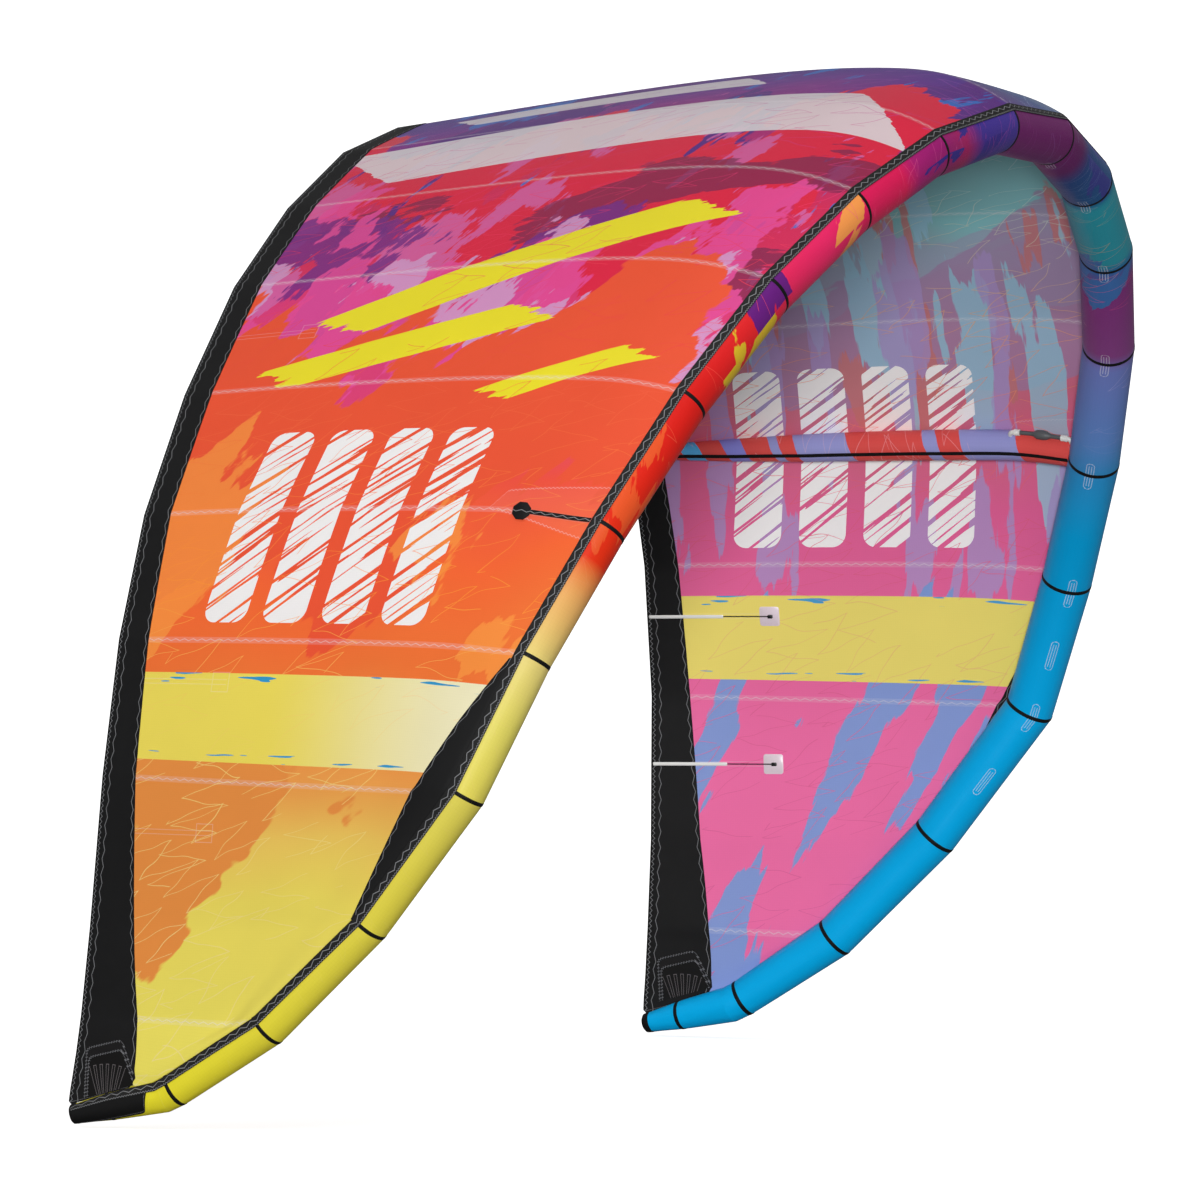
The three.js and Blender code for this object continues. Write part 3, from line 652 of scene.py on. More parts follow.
# Woven cloth: fine crossed threads, a ripstop grid and slow unevenness.
def weaveGroup():
    t, given, out = newGroup("wovenCloth", {"Vector": "vector", "Grid": "value"},
                             {"Shade": "value", "Height": "value"})
    x, y, _ = t.split(given["Vector"])
    threads = []
    for way in (x, y):
        wave = t.math("SINE", way * 5200.0)
        cell = t.math("PINGPONG", way / given["Grid"], 0.5)
        threads.append((wave, t.step(cell, 0.06, 0.02)))
    fine = threads[0][0] * threads[1][0]
    grid = largest(threads[0][1], threads[1][1])
    slow = t.noise(given["Vector"], 3.0, 3.0, 0.6)
    shade = (slow - 0.5) * 0.1 + 1.0 - grid * 0.035
    t.plug(out["Shade"], fine * 0.012 + shade)
    t.plug(out["Height"], fine * 0.25 + grid)


# Torn brush mark: smooth noise, stretched along the stroke, with its edge torn by
# finer streaks, cut hard where it passes 1 - Cover.
def brushGroup():
    t, given, out = newGroup(
        "brushMark", {"Vector": "vector", "Angle": "value", "Size": "value", "Stretch": "value",
                      "Cover": "value", "Tear": "value", "Seed": "value"}, {"Mask": "value"})
    x, y, _ = t.split(t.turn(given["Vector"], given["Angle"]))
    wide = y / given["Size"]
    long = x / given["Size"] / given["Stretch"]
    shape = t.noise(t.join(long, wide, given["Seed"]), 1.0, 5.0, 0.5)
    streak = t.noise(t.join(long * 3.0, wide * 14.0, given["Seed"]), 1.0, 3.0, 0.6)
    torn = (streak - 0.5) * given["Tear"] + shape
    over = torn + given["Cover"]
    t.plug(out["Mask"], t.step(over, 0.995, 1.005))


# Line motif: rows of long sharp zigzags in two directions, bent by noise, shifted
# from row to row by a random number and kept in stretches by noise.
def motifGroup():
    t, given, out = newGroup("lineMotif", {"Vector": "vector", "Size": "value", "Width": "value",
                                           "Keep": "value"}, {"Mask": "value"})
    bend = t.noise(given["Vector"], 7.0, 1.0)
    drawn = None
    for angle, lean in ((0.35, 0.5), (2.1, -0.5)):
        x, y, z = t.split(t.turn(given["Vector"], angle))
        row = y / given["Size"]
        number = t.math("FLOOR", row) + z
        chance = t.outputs("ShaderNodeTexWhiteNoise", {"W": number}, noise_dimensions="1D")["Value"]
        across = (fraction(row) - 0.5) * given["Size"]
        along = x + chance + (bend * 0.06 + across * lean)
        spike = t.use("zigzagStitch", Along=along, Across=across, Period=given["Size"] * 0.52,
                      Swing=given["Size"] * 0.42, Thread=given["Width"])["Mask"]
        keep = t.noise(t.join(along / given["Size"], number), 0.9, 0.0) > 1.0 - given["Keep"]
        line = spike * keep
        drawn = line if drawn is None else largest(drawn, line)
    t.plug(out["Mask"], drawn)


zigzagGroup()
weaveGroup()
brushGroup()
motifGroup()


# New material on a Principled shader with plain socket values.
def newMaterial(name, **sockets):
    material = bpy.data.materials.new(name)
    material.use_nodes = True
    tree = Tree(material.node_tree)
    shader = material.node_tree.nodes["Principled BSDF"]
    for key, value in sockets.items():
        shader.inputs[key.replace("_", " ")].default_value = value
    return material, tree, shader.inputs


# Straight brush stroke: a rectangle about its centre whose edges are torn by streaks.
def strokeGroup():
    t, given, out = newGroup(
        "brushStroke", {"Vector": "vector", "Centre": "vector", "Angle": "value", "Length": "value",
                        "Width": "value", "Slant": "value", "Tear": "value"}, {"Mask": "value"})
    local = t.outputs("ShaderNodeVectorMath", {0: given["Vector"], 1: given["Centre"]},
                      operation="SUBTRACT")[0]
    x, y, _ = t.split(t.turn(local, given["Angle"]))
    streak = t.noise(t.join(x * 3.5, y * 55.0), 1.0, 3.0, 0.6)
    worn = (streak - 0.5) * given["Tear"]
    leaning = y * given["Slant"] + x
    endGap = abs(leaning) - given["Length"] * 0.5
    sideGap = abs(y) - given["Width"] * 0.5
    endGap = worn * 6.0 + endGap
    sideGap = sideGap + worn * 0.4
    t.plug(out["Mask"], t.step(t.math("SMOOTH_MAX", endGap, sideGap, 0.02), 0.001, -0.001))


strokeGroup()


# The print of the canopy, in metres along the trailing edge and away from it. Each
# row of marks: colour, centre and half width along the span, angle, size, stretch,
# cover, tear, seed, thickness of the ink. waves and bend make the ramp of colours
# uneven, and fade thins a mark out away from its centre.
printing = {
    "length": 3.42, "waves": 1.1, "bend": 0.7, "fade": 0.5, "band": (2.317, 2.536),
    "left": [(0, "4a2a8e"), (0.06, "6a2490"), (0.13, "9c2080"), (0.22, "d41f55"), (0.3, "dc2258"),
             (0.38, "e2387c"), (0.46, "e23c74"), (0.53, "f24c38"), (0.6, "f9652a"), (0.67, "f4742e"),
             (0.72, "ee8a3c"), (0.76, "f0a24a"), (0.8, "efc65a"), (0.86, "efdb5c"), (1, "f0e460")],
    "right": [(0, "5b2a86"), (0.08, "3f5c9a"), (0.16, "8496ac"), (0.24, "76bcc0"), (0.34, "76bcc0"),
              (0.4, "9a8ea8"), (0.46, "c07080"), (0.54, "cf5a78"), (0.62, "e2508e"), (0.8, "ee5f9e"),
              (1, "ee5f9e")],
    "leftMarks": [
        ("5c2184", 0.50, 0.50, 0.35, 0.42, 2.2, 0.47, 0.14, 5.1, 1.0),
        ("2b6fc6", 0.35, 0.45, 0.3, 0.13, 3.2, 0.42, 0.16, 1.3, 0.9),
        ("e3173f", 0.80, 0.35, 0.3, 0.40, 2.0, 0.50, 0.16, 8.7, 1.0),
        ("d868ae", 0.85, 0.30, 0.4, 0.16, 2.4, 0.44, 0.18, 4.6, 0.75),
        ("7c1a4c", 0.95, 0.20, 1.2, 0.26, 2.2, 0.44, 0.10, 9.9, 0.8),
        ("7a2284", 1.15, 0.22, 0.5, 0.30, 1.8, 0.44, 0.14, 6.2, 0.9),
        ("ea4a9a", 1.32, 0.20, 0.5, 0.36, 1.6, 0.53, 0.10, 3.9, 0.85),
        ("d79aca", 1.30, 0.14, 0.6, 0.22, 1.8, 0.46, 0.16, 9.4, 0.9),
        ("f0522c", 1.70, 0.30, 0.7, 0.40, 2.4, 0.52, 0.10, 2.2, 1.0),
        ("ffa040", 2.00, 0.25, 0.6, 0.30, 2.2, 0.46, 0.06, 7.7, 0.6),
        ("ea8f3e", 2.85, 0.28, 0.9, 0.60, 1.6, 0.46, 0.05, 4.4, 1.0)],
    "rightMarks": [
        ("8f9fb6", 0.85, 0.45, 1.1, 0.34, 2.6, 0.49, 0.04, 1.9, 0.8),
        ("9c78a4", 1.25, 0.35, 1.2, 0.40, 2.4, 0.48, 0.04, 4.3, 0.75),
        ("c66a66", 1.35, 0.40, 0.12, 0.15, 6.0, 0.44, 0.05, 6.6, 0.8),
        ("8cc2d8", 1.50, 0.45, 0.12, 0.13, 7.0, 0.43, 0.04, 2.8, 0.8),
        ("a58cc6", 1.80, 0.45, 0.15, 0.12, 7.0, 0.45, 0.04, 7.1, 0.8),
        ("6f94d2", 2.90, 0.45, 0.42, 0.13, 5.5, 0.48, 0.04, 3.3, 0.95)],
    "leftLines": [(0, "a05ac0"), (0.25, "f03068"), (0.4, "f03a3a"), (0.62, "ff9a30"), (0.75, "f6dc80"),
                  (1, "f2e2a0")],
    "rightLines": [(0, "9aa8e0"), (0.3, "b8dcd8"), (0.45, "e8a050"), (0.6, "e04a70"), (1, "d84a90")],
}


# Wash of colours along one wing: a ramp over the span, bent by slow noise, under
# torn marks that fade away from their own centre along the span.
def washOfColours(t, place, span, ink, side):
    bent = (t.noise(place, ink["waves"], 2.0) - 0.5) * ink["bend"] + span
    colours = t.ramp(bent / ink["length"], ink[side])
    for code, centre, half, angle, size, stretch, cover, tear, seed, thick in ink[side + "Marks"]:
        away = largest(abs(span - centre) - half, 0.0)
        mark = t.use("brushMark", Vector=place, Angle=angle, Size=size, Stretch=stretch,
                     Cover=cover - away * ink["fade"], Tear=tear, Seed=seed)["Mask"]
        colours = t.blend(mark * thick, colours, code)
    return colours


# Thin lines of the motif over the colours, in their own colours along the span.
def thinLines(t, place, span, ink, side, colours, strength, **motif):
    mask = t.use("lineMotif", Vector=place, **motif)["Mask"]
    lines = t.ramp(span / ink["length"], ink[side + "Lines"])
    return t.blend(mask * strength, colours, lines)


# Straight strokes: centre along the span and above the trailing edge, angle, length,
# width, slant of the ends.
strokes = {
    "yellow": [(1.12, 0.84, 1.15, 1.0, 0.11, 1.2), (1.40, 0.60, 1.3, 0.72, 0.09, 1.2),
               (1.50, 1.10, 1.2, 0.40, 0.06, 1.2)],
    "pale": [(0.47, 0.84, 1.47, 1.42, 0.25, 0.8), (0.14, 0.66, 1.5, 0.80, 0.12, 0.8)],
    "bars": {"span": 1.93, "rise": 0.60, "pitch": 0.172, "count": 4, "width": 0.125, "length": 0.52,
             "slant": 0.16, "corner": 0.035},
}


# Mask of one row of the table above.
def layStroke(t, flat, row, tear):
    span, rise, angle, length, width, slant = row
    return t.use("brushStroke", Vector=flat, Centre=(span, rise, 0), Angle=angle, Length=length,
                 Width=width, Slant=slant, Tear=tear)["Mask"]


# Row of slanted blocks with round corners, repeated by the fraction of the pitch,
# and cut by long streaks that run across them.
def streakedBlocks(t, flat, span, rise):
    bars = strokes["bars"]
    slanted = (span - bars["span"]) * bars["slant"] + rise
    column = (slanted - (bars["rise"] - bars["pitch"] * bars["count"] / 2)) / bars["pitch"]
    across = (fraction(column) - 0.5) * bars["pitch"]
    beyond = [largest(abs(way) - (size / 2 - bars["corner"]), 0.0)
              for way, size in ((span - bars["span"], bars["length"]), (across, bars["width"]))]
    block = root(beyond[0] * beyond[0] + beyond[1] * beyond[1]) < bars["corner"]
    inRow = abs(column - bars["count"] / 2) < bars["count"] / 2
    streaks = t.noise(t.stretch(t.turn(flat, 0.95), (1.6, 60, 1)), 1.0, 2.0, 0.55)
    return block * inRow * (streaks < 0.56)


# All of the print on one wing: washes and marks, strokes, blocks, the plain band
# with its dashes, and the thin lines over everything.
def printGroup(side):
    t, given, out = newGroup("print" + side.title(), {"Vector": "vector"}, {"Colour": "colour"})
    x, rise, _ = t.split(given["Vector"])
    span = abs(x)
    place = t.join(span, rise, 20.0 if side == "right" else 0.0)
    flat = t.join(span, rise)
    colours = washOfColours(t, place, span, printing, side)
    if side == "left":
        for row in strokes["yellow"]:
            colours = t.blend(layStroke(t, flat, row, 0.03), colours, "f1e21f")
    for row in strokes["pale"]:
        mask = layStroke(t, flat, row, 0.006)
        colours = t.blend(mask * 0.86, colours, "e6dee2")
    colours = t.blend(streakedBlocks(t, flat, span, rise), colours, "f6f3f2")
    low, high = printing["band"]
    middle, half = (low + high) / 2, (high - low) / 2
    fromEdge = half - abs(span - middle)
    fill = "ecd95f"
    if side == "left":
        fill = t.blend(t.step(rise, 0.45, 1.1), "f0dc58", "f3ecc4")
    colours = t.blend(fromEdge > 0.0, colours, fill)
    dash = t.noise(t.join(rise * 8.0, span * 90.0), 1.0, 1.0, 0.4)
    nearEdge = abs(fromEdge - 0.012) < 0.012
    dash = (dash > 0.66) * nearEdge
    colours = t.blend(dash, colours, "2a97cc")
    strength = t.step(fromEdge, 0.0, 0.001, 0.75, 0.2625)   # fainter inside the band
    colours = thinLines(t, place, span, printing, side, colours, strength, Size=0.16, Width=0.0016,
                        Keep=0.5)
    t.plug(out["Colour"], colours)


for side in sides:
    printGroup(side)

seams = {
    "places": [0, 1, 2, 3, 4, 5, 6, 7, 9, 11.35], "overlap": 0.015,
    "period": 0.026, "swing": 0.0026, "thread": 0.0022,
}
seamStops = np.interp(seams["places"], ribNumbers, trailingLength)
battens = {
    "right": {"upper": 3.5, "middle": 6.39, "lower": 7.47},
    "left": {"upper": 3.5, "middle": 6.3, "lower": 7.36},
    "reach": {"upper": 296, "middle": 320, "lower": 320},
    "rodShare": 0.62,
    "rod": (9.0, 3.0, -3.6), "thinRod": (3.0, 2.6, -3.4),   # width, thickness, lift
    "block": (13, 9, 2.0), "blockLift": (-1.9, -6.9, 0.6),   # lift: foot, top and rounding
    "patch": (52, 52, 7), "patchLift": (-0.6, -1.7, 0.3),
}


# Patch under the strut end: its point and how its two sides open towards the
# leading edge, each width growing with the way ahead of the point.
strutPatch = {
    "span": 1.9, "point": 0.998, "lean": 0.377, "steep": 2.2, "upper": (0.052, 0.16), "lower": 0.18,
}


# Panel seams: the overlap and a wavy zigzag about each seam, from the edge map,
# and on one wing the stitched outlines of the batten patches.
def seamGroup(side):
    t, given, out = newGroup("seams" + side.title(), {"Vector": "vector", "Edge": "vector"},
                             {"Overlap": "value", "Stitch": "value", "Height": "value"})
    x, y, _ = t.split(given["Vector"])
    away = t.split(given["Edge"])[1]
    stitch = t.use("zigzagStitch", Along=y, Across=away, Period=seams["period"],
                   Swing=seams["swing"], Thread=seams["thread"])
    mask = stitch["Mask"]
    for name, reach in battens["reach"].items():
        centre = float(np.interp(battens[side][name], ribNumbers, trailingLength)) / 1000
        across = abs(abs(x) - centre)
        along = y - reach / 1000
        box = largest(across, abs(along))
        square = abs(box - 0.024) < 0.0011
        rails = (abs(across - 0.006) < 0.0009) * (along < 0.018)
        mask = largest(mask, largest(square, rails) * 0.55)
    aside = abs(x) - strutPatch["span"]
    ahead = aside * strutPatch["lean"] + (y - strutPatch["point"])
    start, widening = strutPatch["upper"]
    upper = smallest(ahead * strutPatch["steep"], ahead * widening + start)
    inside = smallest(aside + upper, ahead * strutPatch["lower"] - aside)
    row = t.use("zigzagStitch", Along=y, Across=inside - 0.004, Period=0.011, Swing=0.0018, Thread=0.0016)
    mask = largest(mask, row["Mask"] * 0.8)
    overlap = abs(away) < seams["overlap"] / 2
    overlap = largest(overlap, (inside > 0.0) * 0.26)
    t.plug(out["Overlap"], overlap)
    t.plug(out["Stitch"], mask)
    t.plug(out["Height"], stitch["Height"])


for side in sides:
    seamGroup(side)


# Canopy cloth: the print under ripstop weave and seams. The inner face is the same print seen through the cloth,
# greyer and duller. Its colours are also multiplied by a painted brightness of 1.19, which is painted light for the
# shaded inner face.
def canopyCloth(name, side, grey, tone, roughness):
    material, t, shader = newMaterial(name, Roughness=roughness, Sheen_Weight=0.04, Sheen_Roughness=0.4,
                                      Specular_IOR_Level=0.15)
    uv = t.uv()
    edge = t.uv("edge")
    printed = t.use("print" + side.title(), Vector=uv)["Colour"]
    weave = t.use("wovenCloth", Vector=uv, Grid=0.006)
    seam = t.use("seams" + side.title(), Vector=uv, Edge=edge)
    colours = t.blend(grey, printed, "b9b4bc")
    colours = t.shade(colours, weave["Shade"])
    # painted light: the colours are multiplied by this factor, 1.19 on the inner face and 1.0 on the outer, which
    # brightens the shaded inner face
    colours = t.blend(1.0, colours, (tone, tone, tone, 1), "MULTIPLY")
    colours = t.blend(seam["Overlap"] * 0.11, colours, "f4f0f2")
    colours = t.blend(seam["Stitch"] * 0.34, colours, "f4f0f2")
    t.plug(shader["Base Color"], colours)
    creases = t.noise(t.stretch(uv, (1, 0.35, 1)), 5.0, 3.0, 0.55)
    soft = t.bump(creases, 0.006, 0.25)
    fine = t.bump(weave["Height"], 0.0002, 0.5, soft)
    t.plug(shader["Normal"], t.bump(seam["Height"], 0.0006, 0.8, fine))
    t.plug(shader["Roughness"], weave["Height"] * 0.05 + roughness)
    return material


# finish of each face: grey, painted brightness (painted light, 1.19 brightens the inner face), roughness
canopyCloths = [canopyCloth(f"canopy{face}{side.title()}", side, *finish) for side in sides
                for face, finish in (("Outer", (0.02, 1.0, 0.42)), ("Inner", (0.10, 1.19, 0.55)))]


# Tape and reinforcement cloth, near black, with rows of light zigzag stitches.
# A row: which edge it follows, its distance from it, period, swing, thread.
def blackCloth(name, rows, base="131314", thread="7f8083", extra=None):
    material, t, shader = newMaterial(name, Roughness=0.62, Specular_IOR_Level=0.2)
    near = t.uv()
    far = t.uv("edge")
    weave = t.use("wovenCloth", Vector=near, Grid=0.004)
    patchy = t.noise(near, 14.0, 3.0, 0.6) * 0.5 + 0.75
    colours = t.shade(base, weave["Shade"] * patchy)
    height = weave["Height"] * 0.12
    for edge, distance, period, swing, thickness in rows:
        x, y, _ = t.split(near if edge == "outer" else far)
        stitch = t.use("zigzagStitch", Along=x, Across=y - distance, Period=period, Swing=swing,
                       Thread=thickness)
        colours = t.blend(stitch["Mask"], colours, thread)
        height = largest(height, stitch["Height"])
    if extra:
        colours, height = extra(t, near, colours, height)
    t.plug(shader["Base Color"], colours)
    t.plug(shader["Roughness"], weave["Height"] * 0.08 + 0.6)
    t.plug(shader["Normal"], t.bump(height, 0.0006, 0.9))
    return material


wave, fine = (0.042, 0.0032, 0.0017), (0.0135, 0.0031, 0.0015)
bandCloth = blackCloth("bandCloth", [("outer", 0.006, *fine), ("outer", 0.022, *wave),
                                     ("inner", 0.008, *wave)])
wedgeCloth = blackCloth("wedgeCloth", [("inner", 0.007, *wave)])
stripCloth = blackCloth("stripCloth", [("outer", 0.015, 0.034, 0.0043, 0.0019),
                                       ("outer", 0.0035, 0.0075, 0.0018, 0.0012)],
                        base="212121", thread="8f9093")
strapCloth = blackCloth("strapCloth", [("outer", 0.0, 0.030, 0.0028, 0.0018)], thread="8e8f92")
coverCloth = blackCloth("coverCloth", [("outer", 0.006, 0.0075, 0.0008, 0.0012)], base="0c0c0d",
                        thread="6e6f73")
ringCloth = blackCloth("ringCloth", [], base="0e0e0f")


# In metres across the band and up it, from the wing tip's trailing corner.
tipPatch = {
    "top": (0.134, 0.24), "side": (0.402, 2.3), "foot": (0.004, 0.278), "innerFoot": 0.016, "wide": 0.139,
    "arches": [(0.004, 0.004), (0.028, 0.011)], "fan": (0.066, -0.062), "loops": 0.12, "loopTop": 0.158,
}


# Stitches of the tip patch: two arches under its top and sides, and narrow loops
# that fan out, by the angle about a point below the patch.
def patchStitches(t, near, colours, height):
    x, y, _ = t.split(near)
    top, side = tipPatch["top"], tipPatch["side"]
    under = x * top[1] + top[0] - y
    beside = (x * -side[1] + side[0] - y) * 0.4
    along = x + y
    for k, (below, aside) in enumerate(tipPatch["arches"]):
        flank = smallest(x - aside, beside - aside)
        gap = t.math("SMOOTH_MIN", under - below, flank, 0.02)
        if k:
            colours = t.blend(gap > 0.0, colours, "0b0a0a")
        row = t.use("zigzagStitch", Along=along, Across=gap, Period=0.0088, Swing=0.0021, Thread=0.0013)
        colours = t.blend(row["Mask"], colours, "77787c")
        height = largest(height, row["Height"])
    across, up = x - tipPatch["fan"][0], y - tipPatch["fan"][1]
    reach = root(across * across + up * up)
    turn = t.math("ARCTAN2", across, up) / tipPatch["loops"]
    inLoop = fraction(turn + 0.5) - 0.5
    gap = (abs(inLoop) - 0.2) * reach * tipPatch["loops"]
    gap = largest(gap, reach - (tipPatch["loopTop"] - 0.003))
    row = t.use("zigzagStitch", Along=reach, Across=gap, Period=0.0042, Swing=0.0006, Thread=0.0011)
    kept = (abs(turn) < 2.9) * (reach < tipPatch["loopTop"])
    colours = t.blend(row["Mask"] * kept, colours, "6f6a6c")
    return colours, largest(height, row["Height"] * kept)


patchCloth = blackCloth("patchCloth", [], base="151415", extra=patchStitches)


# Leading edge cloth: coated woven polyester, its colours running along the tube,
# in a table like that of the canopy's print.
tubeInk = {
    "length": 4.0, "waves": 2.0, "bend": 0.12, "fade": 1.2,
    "left": [(0, "4c3a9e"), (0.05, "45309a"), (0.075, "b01c64"), (0.104, "a01a74"), (0.14, "b01c78"),
             (0.16, "e81a5a"), (0.207, "ea1c5e"), (0.25, "f22a6a"), (0.3, "ee2a60"), (0.33, "e8282e"),
             (0.4, "e0201c"), (0.45, "e82418"), (0.535, "ee3414"), (0.545, "f08a48"), (0.56, "f2b468"),
             (0.603, "f0dc80"), (0.65, "ece06a"), (0.76, "ebdc50"), (1, "efe32e")],
    "right": [(0, "7a1470"), (0.104, "76146c"), (0.13, "6a1468"), (0.15, "1c4a8c"), (0.207, "1c5c98"),
              (0.217, "27a2b4"), (0.3, "2a9eb0"), (0.312, "2a66a8"), (0.33, "84307e"), (0.4, "8a4488"),
              (0.412, "6f7cc0"), (0.48, "5f8acc"), (0.51, "2a90cc"), (0.56, "00a0dc"), (0.7, "00b2f4"),
              (1, "00b8fa")],
    "leftMarks": [
        ("3c2c90", 0.30, 0.15, 0.4, 0.12, 2.5, 0.45, 0.08, 2.0, 1.0),
        ("ffa052", 0.90, 0.05, 0.5, 0.12, 3.0, 0.50, 0.08, 4.0, 1.0),
        ("6a1f80", 1.27, 0.04, 0.9, 0.10, 3.0, 0.50, 0.08, 7.0, 1.0),
        ("e0bc2c", 1.40, 0.06, 0.6, 0.16, 2.0, 0.52, 0.06, 6.0, 1.0),
        ("f25a2a", 1.90, 0.16, 0.4, 0.14, 3.0, 0.44, 0.08, 8.0, 1.0)],
    "rightMarks": [
        ("3a3f9a", 0.62, 0.12, 0.4, 0.14, 2.5, 0.46, 0.08, 3.0, 1.0),
        ("3f6fb0", 1.28, 0.04, 0.3, 0.14, 3.0, 0.50, 0.06, 5.0, 1.0)],
    "leftLines": [(0, "a04ab0"), (0.2, "ff5a8a"), (0.4, "f4503c"), (0.6, "f6c890"), (1, "efe68a")],
    "rightLines": [(0, "b03a9a"), (0.2, "6a9ccc"), (0.25, "c8c87a"), (0.34, "e03c80"),
                   (0.42, "b9aede"), (1, "4fc8f8")],
}
sewnLoop = {
    "rings": [1, 2, 3, 4, 5, 6, 6.5, 7, 7.5], "turn": (0.289, 0.311), "long": 0.084, "wide": 0.0185,
}


# Sewn loops of the bridle points: round-ended outlines of small zigzags with two
# rows inside, along the tube over the rings.
def sewnLoops(t, span, turn):
    nearest = None
    for place in sewnLoop["rings"]:
        centre = float(np.interp(place, ribNumbers, axisLength)) / 1000
        away = abs(span - centre)
        nearest = away if nearest is None else smallest(nearest, away)
    low, high = sewnLoop["turn"]
    across = turn - t.step(span, 2.03, 2.4, low, high)
    radius = sewnLoop["wide"] / 2
    past = largest(nearest - (sewnLoop["long"] / 2 - radius), 0.0)
    reach = root(past * past + across * across)
    wave = t.math("SINE", span * 1500.0) * 0.0006
    rim = abs(reach - radius + wave)
    rows = largest(abs(abs(across) - 0.0032 + wave), past * 2.0)
    return (smallest(rim, rows) < 0.0008) * 0.5


# The wash and thin lines of one wing's tube, the sewn loops, weave and soft puckers.
def tubeCloth(name, side):
    material, t, shader = newMaterial(name, Roughness=0.4, Specular_IOR_Level=0.15)
    uv = t.uv()
    x, y, _ = t.split(uv)
    span = abs(x)
    place = t.join(span, y, 3.0 if side == "left" else 9.0)
    colours = washOfColours(t, place, span, tubeInk, side)
    strength = t.step(span, 2.1, 1.5, 0.0 if side == "right" else 0.12, 0.7)
    colours = thinLines(t, place, span, tubeInk, side, colours, strength, Size=0.15, Width=0.0014,
                        Keep=0.45)
    colours = t.blend(sewnLoops(t, span, y), colours, "f4f4f6")
    weave = t.use("wovenCloth", Vector=uv, Grid=0.009)
    colours = t.shade(colours, weave["Shade"])
    t.plug(shader["Base Color"], colours)
    t.plug(shader["Roughness"], weave["Height"] * 0.05 + 0.4)
    puckers = t.noise(t.stretch(uv, (0.5, 1, 1)), 16.0, 2.0, 0.5)
    soft = t.bump(puckers, 0.004, 0.3)
    t.plug(shader["Normal"], t.bump(weave["Height"], 0.0002, 0.5, soft))
    return material


tubeLeft, tubeRight = tubeCloth("tubeClothLeft", "left"), tubeCloth("tubeClothRight", "right")

strutInk = {   # stops along a side strut, from the leading edge
    "stops": [(0, "8d84cc"), (0.02, "e2524e"), (0.17, "9a9cd6"), (0.29, "e2524e"), (0.34, "9a9cd6"),
              (0.37, "e2524e"), (0.53, "9a9cd6"), (0.64, "e2524e"), (0.67, "9a9cd6"), (0.69, "e2524e"),
              (0.75, "8c8ce0"), (0.79, "e2524e"), (0.84, "5cb8f0"), (0.88, "e2524e"), (0.91, "74c8f4"),
              (0.95, "e2524e"), (0.975, "74c8f4")],
}


# Strut cloth: slanted stripes of the same coated cloth.
def strutCloth():
    material, t, shader = newMaterial("strutCloth", Roughness=0.4, Specular_IOR_Level=0.15)
    uv = t.uv()
    x, y, _ = t.split(uv)
    along = y * 0.35 + x
    wavy = (t.noise(uv, 9.0, 2.0) - 0.5) * 0.02 + along
    colours = t.ramp(wavy / 1.3, strutInk["stops"], "CONSTANT")
    weave = t.use("wovenCloth", Vector=uv, Grid=0.009)
    colours = t.shade(colours, weave["Shade"])
    motif = t.use("lineMotif", Vector=uv, Size=0.14, Width=0.0014, Keep=0.42)["Mask"]
    colours = t.blend(motif * 0.4, colours, "f6c0c8")
    t.plug(shader["Base Color"], colours)
    t.plug(shader["Roughness"], weave["Height"] * 0.05 + 0.4)
    soft = t.bump(t.noise(uv, 14.0, 2.0), 0.004, 0.3)
    t.plug(shader["Normal"], t.bump(weave["Height"], 0.0002, 0.5, soft))
    return material


# Moulded or pulled plastic: speckle and fine scratches in colour and roughness.
def plastic(name, code, roughness, speckle=0.06, coat=0.0):
    material, t, shader = newMaterial(name, Roughness=roughness, Coat_Weight=coat)
    place = t.outputs("ShaderNodeTexCoord")["Object"]
    grain = t.noise(place, 260.0, 3.0, 0.6)
    cloud = t.noise(place, 22.0, 3.0, 0.6)
    t.plug(shader["Base Color"], t.shade(code, (cloud - 0.5) * (speckle * 2) + 1.0))
    t.plug(shader["Roughness"], (grain - 0.5) * 0.2 + roughness)
    t.plug(shader["Normal"], t.bump(grain, 0.0002, 0.3))
    return material


strutInkCloth = strutCloth()
hoseRubber = plastic("hoseRubber", "55585a", 0.5)
clampWhite = plastic("clampWhite", "e4e4e0", 0.35)
rodWhite = plastic("rodWhite", "efefec", 0.35)
rodBlack = plastic("rodBlack", "131314", 0.4)
pocketFilm = plastic("pocketFilm", "f0dfe8", 0.3)
print("materials made:", len(bpy.data.materials))


canopy = {"rows": [14] * 9 + [10, 3], "columns": 92, "thickness": 1.0, "tuck": 12, "end": 11.35}


# Rows of the canopy: a fixed count between ribs, so that each seam has its own row.
def canopyPlaces():
    parts = [k + np.arange(n) / n for k, n in enumerate(canopy["rows"])]
    return np.concatenate(parts + [np.linspace(11, canopy["end"], 5)])


# Gives each face of the canopy its distance from the seam nearest to its middle,
# as the third UV column, and the material of its wing and of its side.
def seamsAndSides(sheet):
    uvs, slots = [], []
    for uv, slot in zip(sheet["uvs"], sheet["slots"]):
        middle = uv[..., 0].mean(1)
        nearest = seamStops[np.abs(np.abs(middle)[:, None] - seamStops).argmin(1)]
        away = np.abs(uv[..., 0]) - nearest[:, None]
        uvs.append(np.concatenate([uv, away[..., None]], -1))
        slots.append(slot + 2 * (middle < 0))
    return {**sheet, "uvs": uvs, "slots": slots}


